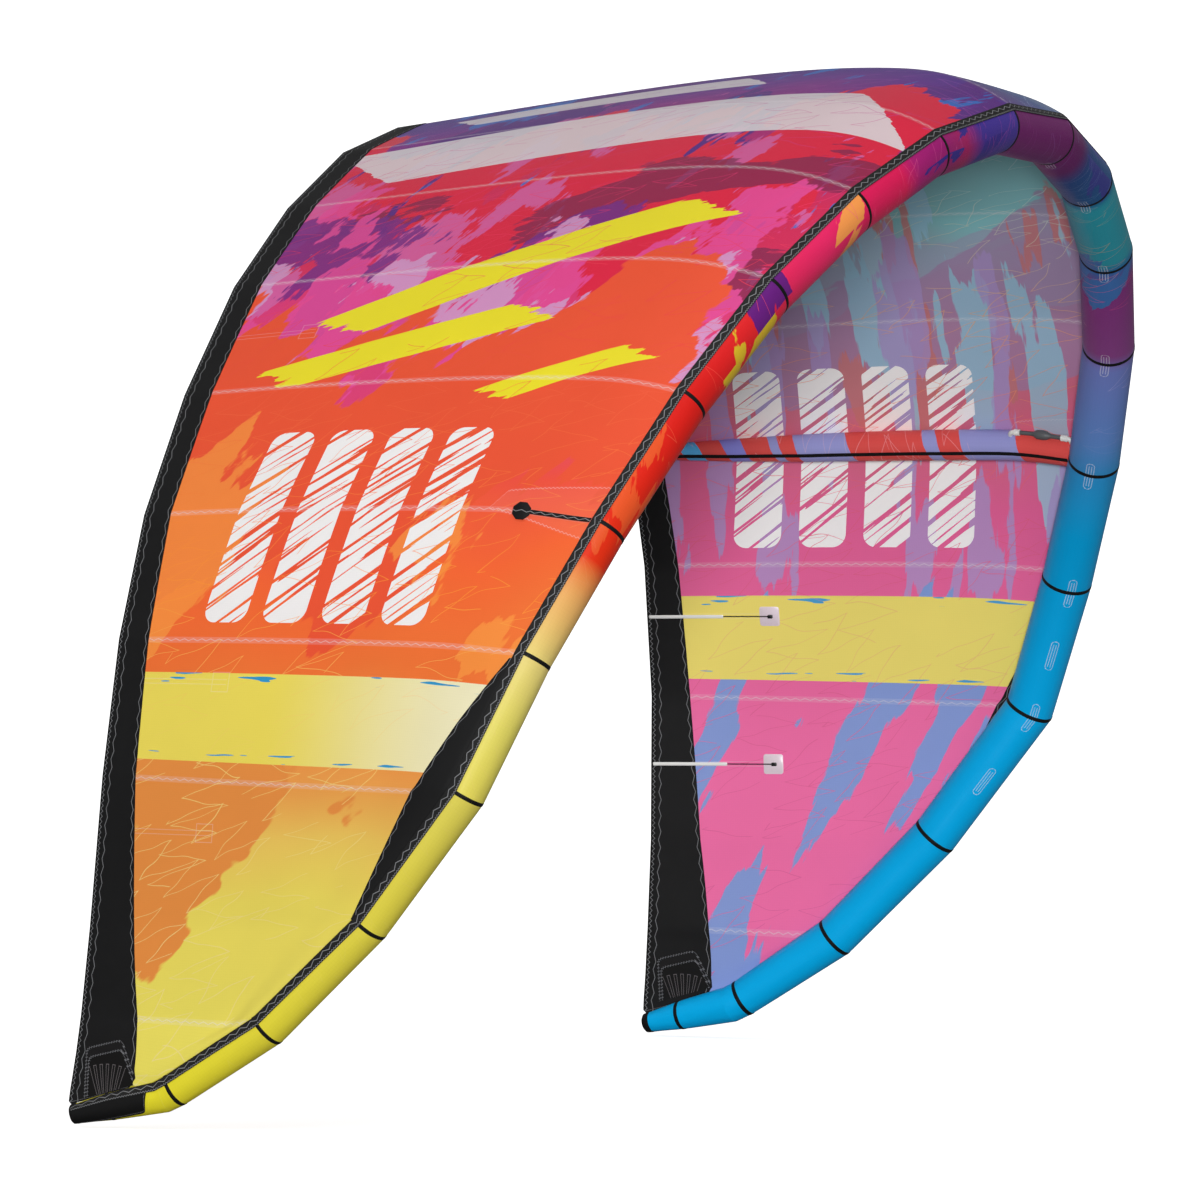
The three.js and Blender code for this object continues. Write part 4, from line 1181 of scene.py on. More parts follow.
# The canopy from tip to tip, tucked under the wedge and into the band by a few
# millimetres, its columns closer together at the front.
def buildCanopy():
    place = canopyPlaces()
    low = np.maximum(frontGap(place), wedgeWidth(place) - canopy["tuck"])
    high = np.minimum(bandStart(place) + canopy["tuck"], clothLength(place) - 6)
    share = np.linspace(0, 1, canopy["columns"]) ** 1.15
    distance = mix(low[:, None], high[:, None], share)
    points, uv = bothWings(clothPoint(place, distance), clothUv(place, distance))
    sheet = sheetShell(points, gridNormals(points), canopy["thickness"], uv, slots=(0, 1, 0))
    sheet = seamsAndSides(sheet)
    nodes = [f"canopy_panel_{k}_{side}" for k in range(1, 10) for side in sides]
    return addPiece("canopy", [sheet], canopyCloths, nodes, "canopy_orange")


kiteCanopy = buildCanopy()
print("canopy:", len(kiteCanopy.data.polygons), "faces")


# Folded binding: a U-shaped section round an edge of the canopy, which lies
# between its two layers. Rows of (distance, lift) are laid on the cloth. outward
# is 1 with the fold toward the trailing edge and -1 toward the front.
def foldedShell(place, opening, fold, room, thick, outward):
    top = room + thick
    steps = np.linspace(0, 1, 7)
    outer = [(mix(opening, fold, s), top + 0 * place) for s in steps]
    nose = [(fold + outward * 1.3, 0.75 * top + 0 * place), (fold + outward * 1.9, 0 * place)]
    inner = [(mix(opening, fold - outward * 3, s), room) for s in steps]
    inside = [(fold - outward * 1.5, 0 * place)]
    half = outer + nose
    section = half + [(d, -h) for d, h in half[-2::-1]] + [(d, -h) for d, h in inner] + inside \
        + [(d, h) for d, h in inner[::-1]]
    distance = np.stack([d + 0 * place for d, _ in section], 1)
    lift = np.stack([h + 0 * place for _, h in section], 1)
    points = clothPoint(place, distance) + clothNormal(place, distance) * lift[..., None]
    uv = clothUv(place, distance)
    uv = np.concatenate([uv, np.abs(distance - opening[:, None])[..., None]], -1)
    uv = np.concatenate([uv, uv[:, :1]], 1)
    return points, uv


trailingBand = {"room": 0.65, "thickness": 1.1}


# Band on the trailing edge from tip to tip, pressed flat where it meets the tip.
def buildTrailingBand():
    parts = [k + np.arange(n) / n for k, n in enumerate([14] * 9 + [10, 4, 8, 8])]
    place = np.concatenate(parts + [[13.0]])
    room = np.interp(place, [0, 11.3, 11.5, 13], [trailingBand["room"]] * 2 + [0.08] * 2)
    points, uv = foldedShell(place, bandStart(place), clothLength(place), room,
                             trailingBand["thickness"], 1)
    points, uv = bothWings(points, uv)
    return addPiece("trailingEdgeBand", [sweepShell(points, uv)], [bandCloth],
                    ["trailing_edge_band_left", "trailing_edge_band_right"], "reinforcement_black")


# Wedge on the front edge of the canopy, between the ribs where the wing turns down.
def buildWedge(side):
    place = np.concatenate([np.linspace(6.04, 7, 28), np.linspace(7, 7.96, 22)[1:]])
    points, uv = foldedShell(place, wedgeWidth(place), frontGap(place), wedge["room"] + 0 * place,
                             wedge["thickness"], -1)
    points, uv = onSide(points, side), onSide(uv, side)
    distance = uv[..., 2]
    uv = np.stack([uv[..., 0], wedgeWidth(place)[:, None] - distance, distance], -1)
    return addPiece(f"reinforcingWedge.{side}", [sweepShell(points, uv)], [wedgeCloth],
                    [f"reinforcing_wedge_{side}"], "reinforcement_black")


# Thin patch over the band at the wing tip. In the plane across and up the band its
# top is the lower of two lines; how far out it lies is a quartic fitted to the cloth.
def buildTipPatch(side):
    place = np.linspace(9.3, 13, 60)
    known = clothPoint(place, np.linspace(0, 1, 40)[None] * clothLength(place)[:, None]).reshape(-1, 3)
    corner = clothPoint(12.65, [[0]])[0, 0]
    known = known[(known[:, 1] > corner[1] - 155) & (known[:, 2] < corner[2] + 170)]

    def terms(points):
        a, b = (corner[1] - points[..., 1]) / 100, (points[..., 2] - corner[2]) / 100
        return np.stack([a ** i * b ** j for i in range(5) for j in range(5 - i)], -1)

    weights = np.linalg.lstsq(terms(known), known[:, 0], rcond=None)[0]
    shells = []
    for face in (1, -1):
        across = np.linspace(0.001, tipPatch["wide"], 48)[:, None]
        foot = tipPatch["foot"][0] + tipPatch["foot"][1] * across + (tipPatch["innerFoot"] if face < 0 else 0)
        top, flank = tipPatch["top"], tipPatch["side"]
        lines = top[0] + top[1] * across, flank[0] - flank[1] * across
        high = np.minimum(*lines) - 0.006 * np.exp(-np.abs(lines[0] - lines[1]) / 0.03)
        up = mix(foot, high, np.linspace(0, 1, 40)[None])
        uv = np.stack([across + 0 * up, up], -1) * 1000
        points = np.stack([0 * up, corner[1] - uv[..., 0], corner[2] + uv[..., 1]], -1)
        points[..., 0] = terms(points) @ weights
        normals = gridNormals(points)
        normals *= np.sign(normals[..., :1]) * face
        shells.append(sheetShell(onSide(points, side), onSide(normals, side), 1.0, uv, lift=2.4))
    return addPiece(f"tipPatch.{side}", shells, [patchCloth], slot="reinforcement_black")


band = buildTrailingBand()
tipPatches = [buildTipPatch(side) for side in sides]
wedges = [buildWedge(side) for side in sides]


tube = {
    "sides": 72, "pinch": 0.45, "pinchReach": 10, "pucker": 0.35, "puckers": 11, "puckerReach": 38,
    "flatReach": 6, "mapRadius": 60,
    "shares": [0, 0.012, 0.025, 0.045, 0.07, 0.1, 0.15, 0.25, 0.38, 0.5],
    "parts": {"right": [(0, 3, "purple"), (3, 13, "blue")],
              "left": [(0, 3, "magenta"), (3, 6, "red"), (6, 13, "yellow")]},
    "dome": [(3, 0.97), (6, 0.8), (7.6, 0.5), (8.2, 0.15)],
}


# Rounded end of the tube: its last loop, moved out and drawn in by each (shift, size).
def roundEnd(loops, dome):
    centre, axis = ribs["axis"][-1], frames["axis"][-1]
    more = [centre + (loops[-1] - centre) * size + axis * shift for shift, size in dome]
    return np.concatenate([loops, np.stack(more)])


# Tube between two ribs: at each ring it is pinched in and puckered, by
# exp(-distance / reach), the pucker also times a wave round the tube.
def tubeShell(first, last, side):
    half = np.array(tube["shares"])
    shares = np.concatenate([half, 1 - half[-2:0:-1]])
    place = np.concatenate([k + shares for k in range(first, last)] + [[last]])
    place = place.astype(float)
    place[0] += 0.0005
    if last < tipRib:
        place[-1] -= 0.0005
    angle = np.linspace(0, 2 * np.pi, tube["sides"] + 1)[None, :-1]
    ring = np.round(place)
    near = (np.abs(place - ring) * np.interp(place, ribNumbers[:-1] + 0.5, np.diff(axisLength)))[:, None]
    wave = np.sin(tube["puckers"] * angle + 2.1 * ring[:, None] + np.sin(3 * angle))
    pinch = tube["pinch"] * np.exp(-near / tube["pinchReach"])
    pucker = tube["pucker"] * wave * np.exp(-near / tube["puckerReach"]) * (
        1 - np.exp(-near / tube["flatReach"]))
    loops = tubePoint(place[:, None], angle, pucker - pinch)
    along = np.interp(place, ribNumbers, axisLength)
    if last == tipRib:
        loops = roundEnd(loops, tube["dome"])
        along = np.concatenate([along, along[-1] + np.array([shift for shift, _ in tube["dome"]])])
    turn = np.linspace(0, 2 * np.pi, tube["sides"] + 1) * tube["mapRadius"]
    uv = np.stack(np.broadcast_arrays(along[:, None] * sides[side], turn[None]), -1)
    return sweepShell(onSide(loops, side), uv)


# Leading edge tubes, one piece for each colour of cloth.
def buildTube():
    made = []
    for side in sides:
        cloth = tubeRight if side == "right" else tubeLeft
        for first, last, name in tube["parts"][side]:
            nodes = [f"tube_{k}_{side}" for k in range(first + 1, min(last, 10) + 1)]
            if last == tipRib:
                nodes.append(f"tube_tip_{side}")
            made.append(addPiece(f"leadingEdge.{side}.{name}", [tubeShell(first, last, side)], [cloth],
                                 nodes, f"tube_{name}"))
    return made


ringSeam = {
    "section": [(-5.4, -0.9), (-5.2, 0.1), (-3.4, 0.5), (3.4, 0.5), (5.2, 0.1), (5.4, -0.9)],
    "sides": 72, "ribs": [1, 2, 3, 4, 5, 6, 7, 8, 9, 10, 12],
}


# Ring tape: its section (shift along the tube, lift) carried round the tube.
def ringShell(rib, side):
    angle = np.linspace(0, 2 * np.pi, ringSeam["sides"] + 1)[:-1, None]
    shift, lift = np.array(ringSeam["section"]).T[:, None]
    before = axisLength[rib] - axisLength[rib - 1] if rib else axisLength[1]
    after = axisLength[rib + 1] - axisLength[rib]
    place = rib + np.where(shift < 0, shift / before, shift / after)
    loops = tubePoint(np.abs(place), angle, lift)
    loops[..., 0] *= np.where(place < 0, -1, 1)
    turn = np.linspace(0, 2 * np.pi, ringSeam["sides"] + 1)[:, None] * tube["mapRadius"]
    wide = np.concatenate([shift, shift[:, :1]], 1)
    uv = np.stack(np.broadcast_arrays(turn, wide), -1)
    return sweepShell(onSide(loops, side), uv, ring=True)


def buildRings():
    made = []
    for side in sides:
        shells = [ringShell(rib, side) for rib in ringSeam["ribs"] + ([0] if side == "right" else [])]
        made.append(addPiece(f"ringSeams.{side}", shells, [ringCloth], slot="reinforcement_black"))
    return made


closingStrip = {"thickness": 1.2, "columns": 7, "widest": 0.62}


# Middle of a cloth that lies on the tube, and its normals away from the axis.
def layOnTube(place, angle):
    lift = skin["clothGap"] + skin["sheet"] / 2
    points = tubePoint(place, angle, lift)
    return points, unit(tubePoint(place, angle, lift + 10) - points)


# Strip over the seam of tube and canopy, a fixed width round the tube.
def buildClosingStrip():
    place = np.concatenate([k + np.arange(8) / 8 for k in range(tipRib)] + [[13.0]])[:, None]
    low = np.radians(ribs["strip"])
    high = low + np.minimum(skin["stripWidth"] / ribs["radius"], closingStrip["widest"])
    share = np.linspace(0, 1, closingStrip["columns"])[None]
    points, normals = layOnTube(place, mix(between(low, place), between(high, place), share))
    along = np.interp(place, ribNumbers, stripLength)
    uv = np.stack(np.broadcast_arrays(along, share * skin["stripWidth"]), -1)
    normals = np.concatenate([mirror(normals[:0:-1]), normals])
    points, uv = bothWings(points, uv)
    strip = sheetShell(points, normals, closingStrip["thickness"], uv)
    return addPiece("closingStrip", [strip], [stripCloth], ["closing_strip"], "reinforcement_black")


tubes = buildTube()
rings = buildRings()
strip = buildClosingStrip()


tipCover = {
    "upper": [11.17, 11.5, 12, 12.5, 12.98], "lower": [11.3, 11.65, 12, 12.5, 12.98],
    "angle": 18, "lean": 22, "corner": 18, "rows": 40, "columns": 22, "thickness": 1.3,
}
tipCap = {"start": 12.86, "lift": 1.5, "dome": [(3, 0.98), (6.5, 0.82), (8.6, 0.5), (9.4, 0.12)]}


# Cover of the wing tip: a flap on the tube between two lines of places, rounded at
# its lower corner, and a cap over the end of the tube.
def tipShells(side):
    down = np.linspace(0, 1, tipCover["rows"]) ** 1.5
    rows = np.linspace(0, 1, 5)
    low = np.interp(down, rows, tipCover["lower"])
    high = np.interp(down, rows, tipCover["upper"])
    run = np.interp(low, ribNumbers, axisLength)
    run = run - run[0]
    corner = tipCover["corner"]
    rise = corner - np.sqrt(corner ** 2 - np.clip(corner - run, 0, None) ** 2)
    share = np.linspace(0, 1, tipCover["columns"])[None]
    place = mix(low[:, None], high[:, None], share)
    lowest = np.radians(tipCover["angle"] + tipCover["lean"] * (1 - down))
    lowest = (lowest + rise / between(ribs["radius"], low))[:, None]
    angle = mix(lowest, between(np.radians(ribs["strip"]), place) - 0.004, share)
    points, normals = layOnTube(place, angle)
    edge = np.minimum(run[:, None], (angle - lowest) * 40)
    uv = np.stack([np.interp(place, ribNumbers, axisLength), edge], -1)
    flap = sheetShell(onSide(points, side), onSide(normals, side), tipCover["thickness"], uv)
    turn = np.linspace(0, 2 * np.pi, 65)[None, :-1]
    place = np.linspace(tipCap["start"], 13, 5)[:, None]
    lift = np.array([0.05] + [tipCap["lift"]] * 4)[:, None]
    loops = roundEnd(tubePoint(place, turn, lift), tipCap["dome"])
    # the cap's map stays 30 mm from the flap's edge, where no stitch shows
    cap = sweepShell(onSide(loops, side), np.zeros((len(loops), 65, 2)) + np.array([0, 30]))
    return [flap, cap]


covers = [addPiece(f"tipCover.{side}", tipShells(side), [coverCloth], [f"tip_cover_{side}"],
                   "reinforcement_black") for side in sides]


strut = {
    "share": [0, 0.3, 0.47, 0.63, 0.79, 0.91, 1], "radius": [39, 40, 38.5, 36, 29.5, 22.5, 18],
    "front": 40, "endInset": 34, "gap": 2, "lean": 11, "leanEnd": 0.8, "sides": 56, "rows": 70,
    "frontSizes": (0.05, 0.35, 0.65, 0.88, 0.98), "seamWidth": 10, "seamThickness": 0.9, "seamLift": 0.35,
    "mapRadius": 36,
}


# Radius of a strut; near its end it is multiplied by sqrt(1 - end * end).
def strutRadius(share):
    end = np.clip((share - 0.955) / 0.047, 0, 0.999)
    return np.interp(share, strut["share"], strut["radius"]) * np.sqrt(1 - end ** 2)


# Centre line of a strut and its directions at shares of its length: under the
# cloth by its own radius, a side strut leaning toward the centre of the wing.
def strutLine(rib, share):
    length = clothLength(rib)[0]
    distance = mix(strut["front"], length - strut["endInset"], share)
    rows = np.full(1, float(rib))
    side = unit(np.cross(frames["along"][rib], frames["normal"][rib]))
    inward = -side if side[0] > 0 else side
    ahead = clothPoint(rows, (distance + 1)[None])[0] - clothPoint(rows, (distance - 1)[None])[0]
    normal = unit(np.cross(side, unit(ahead)))
    if (normal * frames["normal"][rib]).sum() < 0:
        normal = -normal
    drop = np.interp(share, strut["share"], strut["radius"]) + skin["sheet"] / 2 + strut["gap"]
    lean = 0 if rib == 0 else strut["lean"] * np.clip(1 - share / strut["leanEnd"], 0, None)
    centre = clothPoint(rows, distance[None])[0] - normal * drop[:, None]
    return centre + inward * (lean * np.ones_like(share))[:, None], side, normal, inward


# Distance of points from the surface of the leading edge tube near a rib.
def tubeClearance(points, rib):
    nearest = np.full(points.shape[:-1], 1e9)
    spans = [(rib, rib + 1, 1)] + ([(rib - 1, rib, 1)] if rib else [(0, 1, -1)])
    for a, b, sign in spans:
        start, end = (ribs["axis"][k] * np.array([sign, 1, 1]) for k in (a, b))
        way = end - start
        t = np.clip(((points - start) * way).sum(-1) / (way * way).sum(), 0, 1)
        gap = np.linalg.norm(points - start - t[..., None] * way, axis=-1) - mix(
            ribs["radius"][a], ribs["radius"][b], t)
        nearest = np.minimum(nearest, gap)
    return nearest


# Points of a strut: centre + radius * (cos * side + sin * normal).
def strutSurface(rib, share, angle, size=1.0, lift=0.0):
    centre, side, normal, _ = strutLine(rib, share.ravel())
    shape = share.shape + (3,)
    reach = (strutRadius(share) * size + lift)[..., None]
    turn = np.broadcast_to(angle, share.shape)[..., None]
    return centre.reshape(shape) + reach * (np.cos(turn) * side + np.sin(turn) * normal.reshape(shape))


# Share at which each line of the strut leaves the tube, read off fine steps.
def strutStart(rib, angle, size):
    steps = np.linspace(0, 0.16, 161)
    share = np.broadcast_to(steps[:, None], (161, angle.size))
    clear = tubeClearance(strutSurface(rib, share, angle[None], size), rib) - skin["clothGap"]
    inside = clear < 0
    last = np.where(inside.any(0), 160 - inside[::-1].argmax(0), 0)
    after = np.minimum(last + 1, 160)
    column = np.arange(angle.size)
    a, b = clear[last, column], clear[after, column]
    part = np.where(b > a, -a / np.where(b > a, b - a, 1), 0)
    return np.where(inside.any(0), steps[last] + np.clip(part, 0, 1) * 0.001, 0)


# Strut as loops that start on the tube's surface, closed in front by smaller ones,
# and the seam tape along its inner line.
def strutShells(rib, side):
    angle = np.linspace(0, 2 * np.pi, strut["sides"] + 1)[:-1]
    loops, ways = [], []
    for size in strut["frontSizes"]:
        start = strutStart(rib, angle, size)
        loops.append(strutSurface(rib, start[None], angle[None], size)[0])
        ways.append(start)
    start = strutStart(rib, angle, 1.0)
    for k in np.linspace(0, 1, strut["rows"]) ** 0.9:
        share = mix(start, 1.0, k)
        loops.append(strutSurface(rib, share[None], angle[None])[0])
        ways.append(share)
    loops, ways = np.stack(loops), np.stack(ways)
    length = clothLength(rib)[0] - strut["front"] - strut["endInset"]
    turn = np.linspace(0, 2 * np.pi, strut["sides"] + 1) * strut["mapRadius"]
    ways = np.concatenate([ways, ways[:, :1]], 1) * length
    uv = np.stack(np.broadcast_arrays(ways, turn[None]), -1)
    low = strutStart(rib, np.array([-np.pi / 2]), 1.0)[0] + 0.0004
    share = np.linspace(low, 0.985, 60)[:, None] + np.zeros((1, 3))
    across = np.array([-1, 0, 1])[None] * strut["seamWidth"] / 2
    turn = -np.pi / 2 + across / strutRadius(share)
    tape = strutSurface(rib, share, turn, lift=strut["seamLift"])
    normals = unit(strutSurface(rib, share, turn, lift=10) - tape)
    tapeUv = np.stack(np.broadcast_arrays(share * length, across), -1)
    return [sweepShell(onSide(loops, side), uv)], [
        sheetShell(onSide(tape, side), onSide(normals, side), strut["seamThickness"], tapeUv)]


def buildStruts():
    made = []
    for rib, side, node in ((0, "centre", "strut_centre"), (strutRib, "right", "strut_side_right"),
                            (strutRib, "left", "strut_side_left")):
        body, tape = strutShells(rib, side)
        made.append(addPiece(f"strut.{side}", body, [strutInkCloth], [node], "strut_red"))
        made.append(addPiece(f"strutSeam.{side}", tape, [ringCloth], slot="reinforcement_black"))
    return made


struts = buildStruts()

hose = {
    "at": [0.140, 0.128, 0.1265, 0.102, 0.097, 0.090, 0.084, 0.074, 0.067, 0.060, 0.056, 0.036, 0.034, 0.02],
    "radius": [5.5, 5.5, 5.5, 5.5, 6.6, 11.4, 12.7, 12.7, 11.4, 6.6, 5.5, 5.5, 5.5, 5.5],
    "thickest": 12.7, "seat": 0.3, "flank": -15,
    "clamps": [(0.142, 0.128), (0.034, 0.019)], "clampRadius": 8.8, "ridge": 0.9, "collar": 6.4,
    "elbows": [(0.142, 0.14), (0.019, 0.021)], "bend": 12,
}


# A hose lies along the upper flank of a side strut: round loops carried on a line
# beside the strut, with clamps of three ridges and an elbow at both ends.
def hoseShells(side):
    length = clothLength(strutRib)[0]
    radius = float(np.interp(0.1, strut["share"], strut["radius"]))
    reach = radius + hose["thickest"] - hose["seat"]
    drop = radius + skin["sheet"] / 2 + strut["gap"]
    flank = math.radians(hose["flank"])
    turn = np.linspace(0, 2 * np.pi, 25)[None, :-1, None]

    def loopsAt(at, size):
        share = at * length / (length - strut["front"] - strut["endInset"])
        _, sideways, normal, inward = strutLine(strutRib, share)
        lean = strut["lean"] * (1 - at / strut["leanEnd"])
        middle = clothPoint(strutRib, strut["front"] + at * length)[0]
        middle = middle + normal * (reach * math.sin(flank) - drop) + inward * (
            lean + reach * math.cos(flank))[:, None]
        loops = middle[:, None] + size[:, None, None] * (
            np.cos(turn) * sideways + np.sin(turn) * normal[:, None])
        uv = np.stack(np.broadcast_arrays((at * length)[:, None], np.linspace(0, 60, 25)[None]), -1)
        return onSide(loops, side), uv

    at = np.linspace(hose["at"][0], hose["at"][-1], 90)
    size = np.interp(at[::-1], hose["at"][::-1], hose["radius"][::-1])[::-1]
    shells = [sweepShell(*loopsAt(at, size))]
    for start, end in hose["clamps"]:
        share = np.linspace(0, 1, 25)
        size = hose["clampRadius"] - hose["ridge"] * (np.cos(share * 6 * np.pi) > 0.2)
        size[[0, -1]] = hose["collar"]
        shells.append(sweepShell(*loopsAt(mix(start, end, share), size), slot=1))
    # elbows bend from the clamps into the strut and into the leading edge tube
    targets = strutLine(strutRib, np.array([0.13]))[0][0], ribs["axis"][strutRib]
    for row, target in zip(hose["elbows"], targets):
        first, last = loopsAt(np.array(row), np.full(2, hose["collar"]))[0].mean(1)
        away = unit(first - last)
        inward = onSide(target, side) - first
        inward = unit(inward - away * dot(inward, away))
        cross = np.cross(away, inward)
        bend = np.linspace(0, np.pi / 2, 10)[:, None, None]
        centre = first + hose["bend"] * (away * np.sin(bend) + inward * (1 - np.cos(bend)))
        loops = centre + hose["collar"] * (
            np.cos(turn) * cross + np.sin(turn) * (inward * np.cos(bend) - away * np.sin(bend)))
        shells.append(sweepShell(loops, np.zeros((10, 25, 2)), slot=1))
    return shells


hoses = [addPiece(f"inflationHose.{side}", hoseShells(side), [hoseRubber, clampWhite],
                  [f"inflation_hose_{side}"], "hose_grey") for side in sides]


# Loop of a rectangle with round corners, in (along, across).
def roundedLoop(long, wide, corner, steps=6):
    turn = np.linspace(0, np.pi / 2, steps)
    arc = np.stack([np.cos(turn), np.sin(turn)], 1) * corner
    spots = []
    for k, (x, y) in enumerate([(1, 1), (-1, 1), (-1, -1), (1, -1)]):
        c, s = math.cos(k * np.pi / 2), math.sin(k * np.pi / 2)
        spots.append(arc @ np.array([[c, s], [-s, c]]) + [x * (long / 2 - corner), y * (wide / 2 - corner)])
    return np.concatenate(spots)


# Flat plate on the cloth: its outline lifted in four loops with a rounded rim.
def plateShell(place, distance, outline, bottom, top, rim, slot=0):
    rows = np.full(1, float(place))
    normal = clothNormal(rows, [[distance]])[0, 0]
    aft = unit(clothPoint(rows, [[distance + 4]])[0, 0] - clothPoint(rows, [[distance - 4]])[0, 0])
    side = np.cross(normal, aft)
    centre = clothPoint(rows, [[distance]])[0, 0]
    size = np.abs(outline).max()
    loops = []
    step = np.sign(top - bottom) * rim
    for lift, inset in ((bottom, rim), (bottom + step, 0), (top - step, 0), (top, rim)):
        flat = outline * (1 - inset / size)
        loops.append(centre + flat[:, :1] * aft + flat[:, 1:] * side + lift * normal)
    flat = np.concatenate([outline, outline[:1]])
    uv = np.broadcast_to(flat[None], (4,) + flat.shape)
    return np.stack(loops), uv, slot


# Rod under the cloth from one distance to another, with an oval section.
def rodShell(place, start, end, wide, thick, lift, slot=0):
    share = np.array([0, 0, *np.linspace(0.004, 0.996, 30), 1, 1])
    size = np.array([0.3, 0.8, *np.ones(30), 0.8, 0.3])
    distance = mix(start, end, share)
    rows = np.full(1, float(place))
    centre = clothPoint(rows, distance[None])[0]
    normal = clothNormal(rows, distance[None])[0]
    aft = unit(clothPoint(rows, distance[None] + 4)[0] - clothPoint(rows, distance[None] - 4)[0])
    side = unit(np.cross(normal, aft))
    turn = np.linspace(0, 2 * np.pi, 17)[None, :-1, None]
    loops = (centre + normal * lift)[:, None] + size[:, None, None] * (
        np.cos(turn) * side[:, None] * wide / 2 + np.sin(turn) * normal[:, None] * thick / 2)
    uv = np.zeros((len(share), 17, 2))
    uv[..., 0] = distance[:, None]
    return loops, uv, slot


# A swept body on its side of the kite.
def sweepOnSide(loops, uv, slot, side):
    return sweepShell(onSide(loops, side), uv, slot=slot)


# Each batten: its rod and thin front rod, the block at its front end, and the
# square film patch over that.
def buildBattens():
    made = []
    for side in sides:
        for name, place in battens[side].items():
            reach = battens["reach"][name]
            whole = clothLength(place)[0]
            switch = whole - reach * battens["rodShare"]
            block, patch = roundedLoop(*battens["block"]), roundedLoop(*battens["patch"])
            parts = [
                rodShell(place, switch, whole - 4, *battens["rod"], 0),
                rodShell(place, whole - reach, switch + 3, *battens["thinRod"], 1),
                plateShell(place, whole - reach - 2, block, *battens["blockLift"], 1),
                plateShell(place, whole - reach, patch, *battens["patchLift"], 2),
            ]
            shells = [sweepOnSide(*part, side) for part in parts]
            made.append(addPiece(f"batten.{name}.{side}", shells, [rodWhite, rodBlack, pocketFilm],
                                 [f"batten_{name}_{side}"], "batten_white"))
    return made


strap = {
    "length": 165, "width": 12, "thickness": 1.2, "lift": 1.6, "padRadius": 26,
    "padLift": (1.4, 3.4, 0.7),   # foot, top and rounding
}


# Strap along the strut seam, with an eight-sided pad at its rear end.
def buildStrap(side):
    spacing = np.linalg.norm(clothPoint(strutRib, 300) - clothPoint(strutRib + 1, 300))
    place = strutRib + np.array([-1, -0.5, 0, 0.5, 1]) * strap["width"] / 2 / spacing
    distance = np.linspace(0.5, strap["length"], 40)[None] + np.zeros((5, 1))
    points = clothPoint(place, distance)
    normals = np.broadcast_to(clothNormal(strutRib, distance[:1]), points.shape)
    uv = np.stack(np.broadcast_arrays(distance, (place - strutRib)[:, None] * spacing), -1)
    ribbon = sheetShell(onSide(points, side), onSide(normals, side), strap["thickness"], uv,
                        lift=strap["lift"])
    turn = 2 * np.pi * (np.arange(8) + 0.5) / 8
    corners = np.stack([np.cos(turn), np.sin(turn)], 1) * strap["padRadius"]
    t = np.linspace(0, 1, 6, endpoint=False)[None, :, None]
    outline = (corners[:, None] * (1 - t) + np.roll(corners, -1, 0)[:, None] * t).reshape(-1, 2)
    parts = plateShell(strutRib, strap["length"] + 0.8 * strap["padRadius"], outline, *strap["padLift"])
    return addPiece(f"strutStrap.{side}", [ribbon, sweepOnSide(*parts, side)], [strapCloth],
                    [f"strut_strap_{side}"], "reinforcement_black")


battenPieces = buildBattens()
straps = [buildStrap(side) for side in sides]
print("pieces made:", len(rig.pieces()))


# Flat sizes of the cloth before sewing: width, length and area in metres.
flatSizes = {
    "canopy": (6.82, 1.64, 8.36), "band": (0.36, 6.82, 1.33), "wedge": (0.184, 0.80, 0.072),
    "strip": (0.025, 8.46, 0.2115), "cover": (0.075, 0.24, 0.0152),
}


# Declares a sewn sheet with its flat size.
def sewnSheet(piece, kind, **facts):
    width, length, area = flatSizes[kind]
    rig.sheet(piece, flat=(width, length), held="stretched", area=area, **facts)


tubeNames = [piece.name for piece in tubes]
sewnSheet(kiteCanopy, "canopy", rests_on=tubeNames + ["strut.centre", "strut.right", "strut.left"],
          with_pieces=straps + battenPieces)
sewnSheet(band, "band", rests_on=["canopy"], with_pieces=tipPatches)
sewnSheet(strip, "strip", rests_on=tubeNames)
for piece in wedges:
    sewnSheet(piece, "wedge", rests_on=["canopy"])
for piece in covers:
    sewnSheet(piece, "cover", rests_on=tubeNames)
for piece in tubes + [piece for piece in struts if piece.name.startswith("strut.")]:
    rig.padded(piece, fill=1.0)   # blown up tight


# White paper floor: it glows a little to the camera, and to the kite it is dim grey.
def buildFloor():
    size, height = 200.0, -2.472
    mesh = bpy.data.meshes.new("floor")
    mesh.from_pydata([(-size, -size, height), (size, -size, height), (size, size, height),
                      (-size, size, height)], [], [(0, 1, 2, 3)])
    material, t, shader = newMaterial("floorPaper", Roughness=0.9, Specular_IOR_Level=0.1)
    place = t.outputs("ShaderNodeTexCoord")["Object"]
    paper = t.blend(t.noise(place, 0.4, 2.0), (0.93, 0.93, 0.93, 1), (0.95, 0.95, 0.95, 1))
    seen = t.outputs("ShaderNodeLightPath")["Is Camera Ray"]
    t.plug(shader["Base Color"], t.blend(seen, (studio["bounce"],) * 3 + (1,), paper))
    t.plug(shader["Emission Color"], t.join(seen, seen, seen))
    shader["Emission Strength"].default_value = studio["floorGlow"]
    mesh.materials.append(material)
    floor = bpy.data.objects.new("floor", mesh)
    bpy.context.collection.objects.link(floor)
    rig.stage(floor)


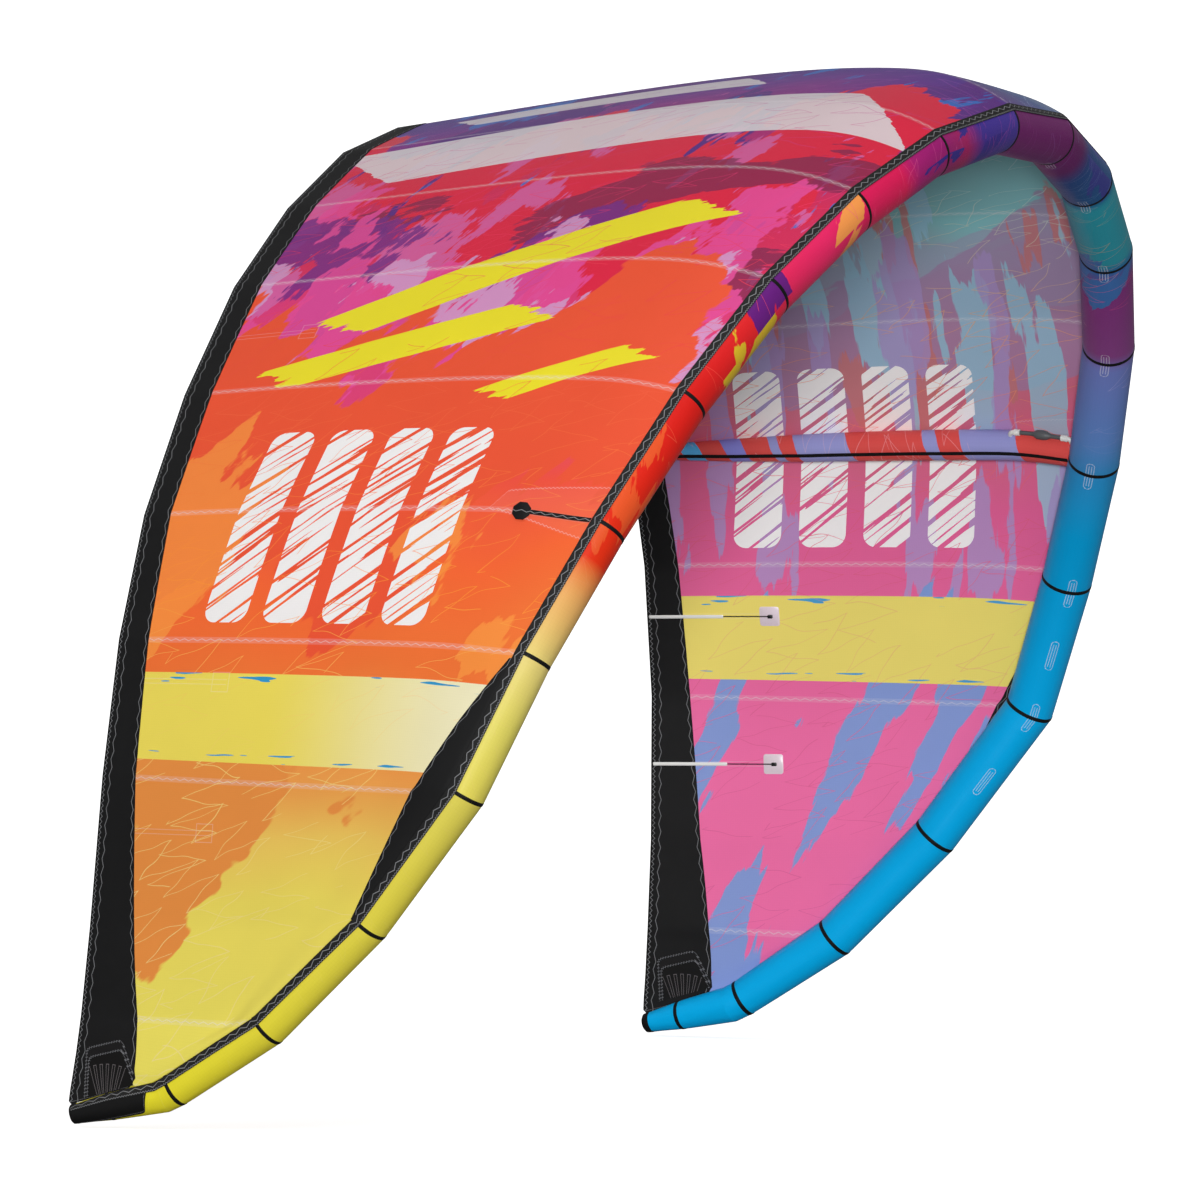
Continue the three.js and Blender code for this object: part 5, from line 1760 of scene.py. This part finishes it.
# Soft suns: direction each shines along, strength, and the width of its disc.
studio = {
    "suns": [((0.92, 0.375, -0.09), 2.0, 8), ((0.25, 0.1, -0.95), 0.9, 60)],
    "sky": 0.27, "floorGlow": 0.75, "bounce": 0.28,
}


# Even sky, white to the camera, and the suns of the table.
def buildLight():
    world = bpy.data.worlds.new("studio")
    bpy.context.scene.world = world
    world.use_nodes = True
    background = world.node_tree.nodes["Background"]
    background.inputs["Color"].default_value = (1, 1, 1, 1)
    t = Tree(world.node_tree)
    seen = t.outputs("ShaderNodeLightPath")["Is Camera Ray"]
    t.plug(background.inputs["Strength"], t.step(seen, 0.0, 1.0, studio["sky"], 1.0))
    for k, (way, strength, width) in enumerate(studio["suns"]):
        data = bpy.data.lights.new(f"softLight{k + 1}", "SUN")
        data.energy = strength
        data.angle = math.radians(width)
        light = bpy.data.objects.new(data.name, data)
        light.rotation_mode = "QUATERNION"
        light.rotation_quaternion = Vector(way).to_track_quat("-Z", "Y")
        bpy.context.collection.objects.link(light)


# A very long lens from far off, as flat as the photograph. aim is the point at
# the middle of the picture, and wide the width of what is seen there.
photo = {"aim": (-0.3190, 1.0190, -1.2086), "way": (0.92164, 0.38359, -0.05864), "wide": 3.047,
         "lens": 1700.0}


def buildCamera():
    data = bpy.data.cameras.new("camera")
    data.sensor_width = 36
    data.lens = photo["lens"]
    away = photo["wide"] * photo["lens"] / 36
    data.clip_start, data.clip_end = 1.0, 1000.0
    camera = bpy.data.objects.new("camera", data)
    way = Vector(photo["way"]).normalized()
    camera.location = Vector(photo["aim"]) - way * away
    camera.rotation_mode = "QUATERNION"
    camera.rotation_quaternion = way.to_track_quat("-Z", "Y")
    bpy.context.collection.objects.link(camera)
    bpy.context.scene.camera = camera
    bpy.context.scene.view_settings.view_transform = "Standard"


buildFloor()
buildLight()
buildCamera()
print("floor, light and camera made")

with open("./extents.json", "w") as file:
    json.dump({"cad": [list(corner) for corner in cadBox],
               "scene": [list(corner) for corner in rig.bounds()]}, file)
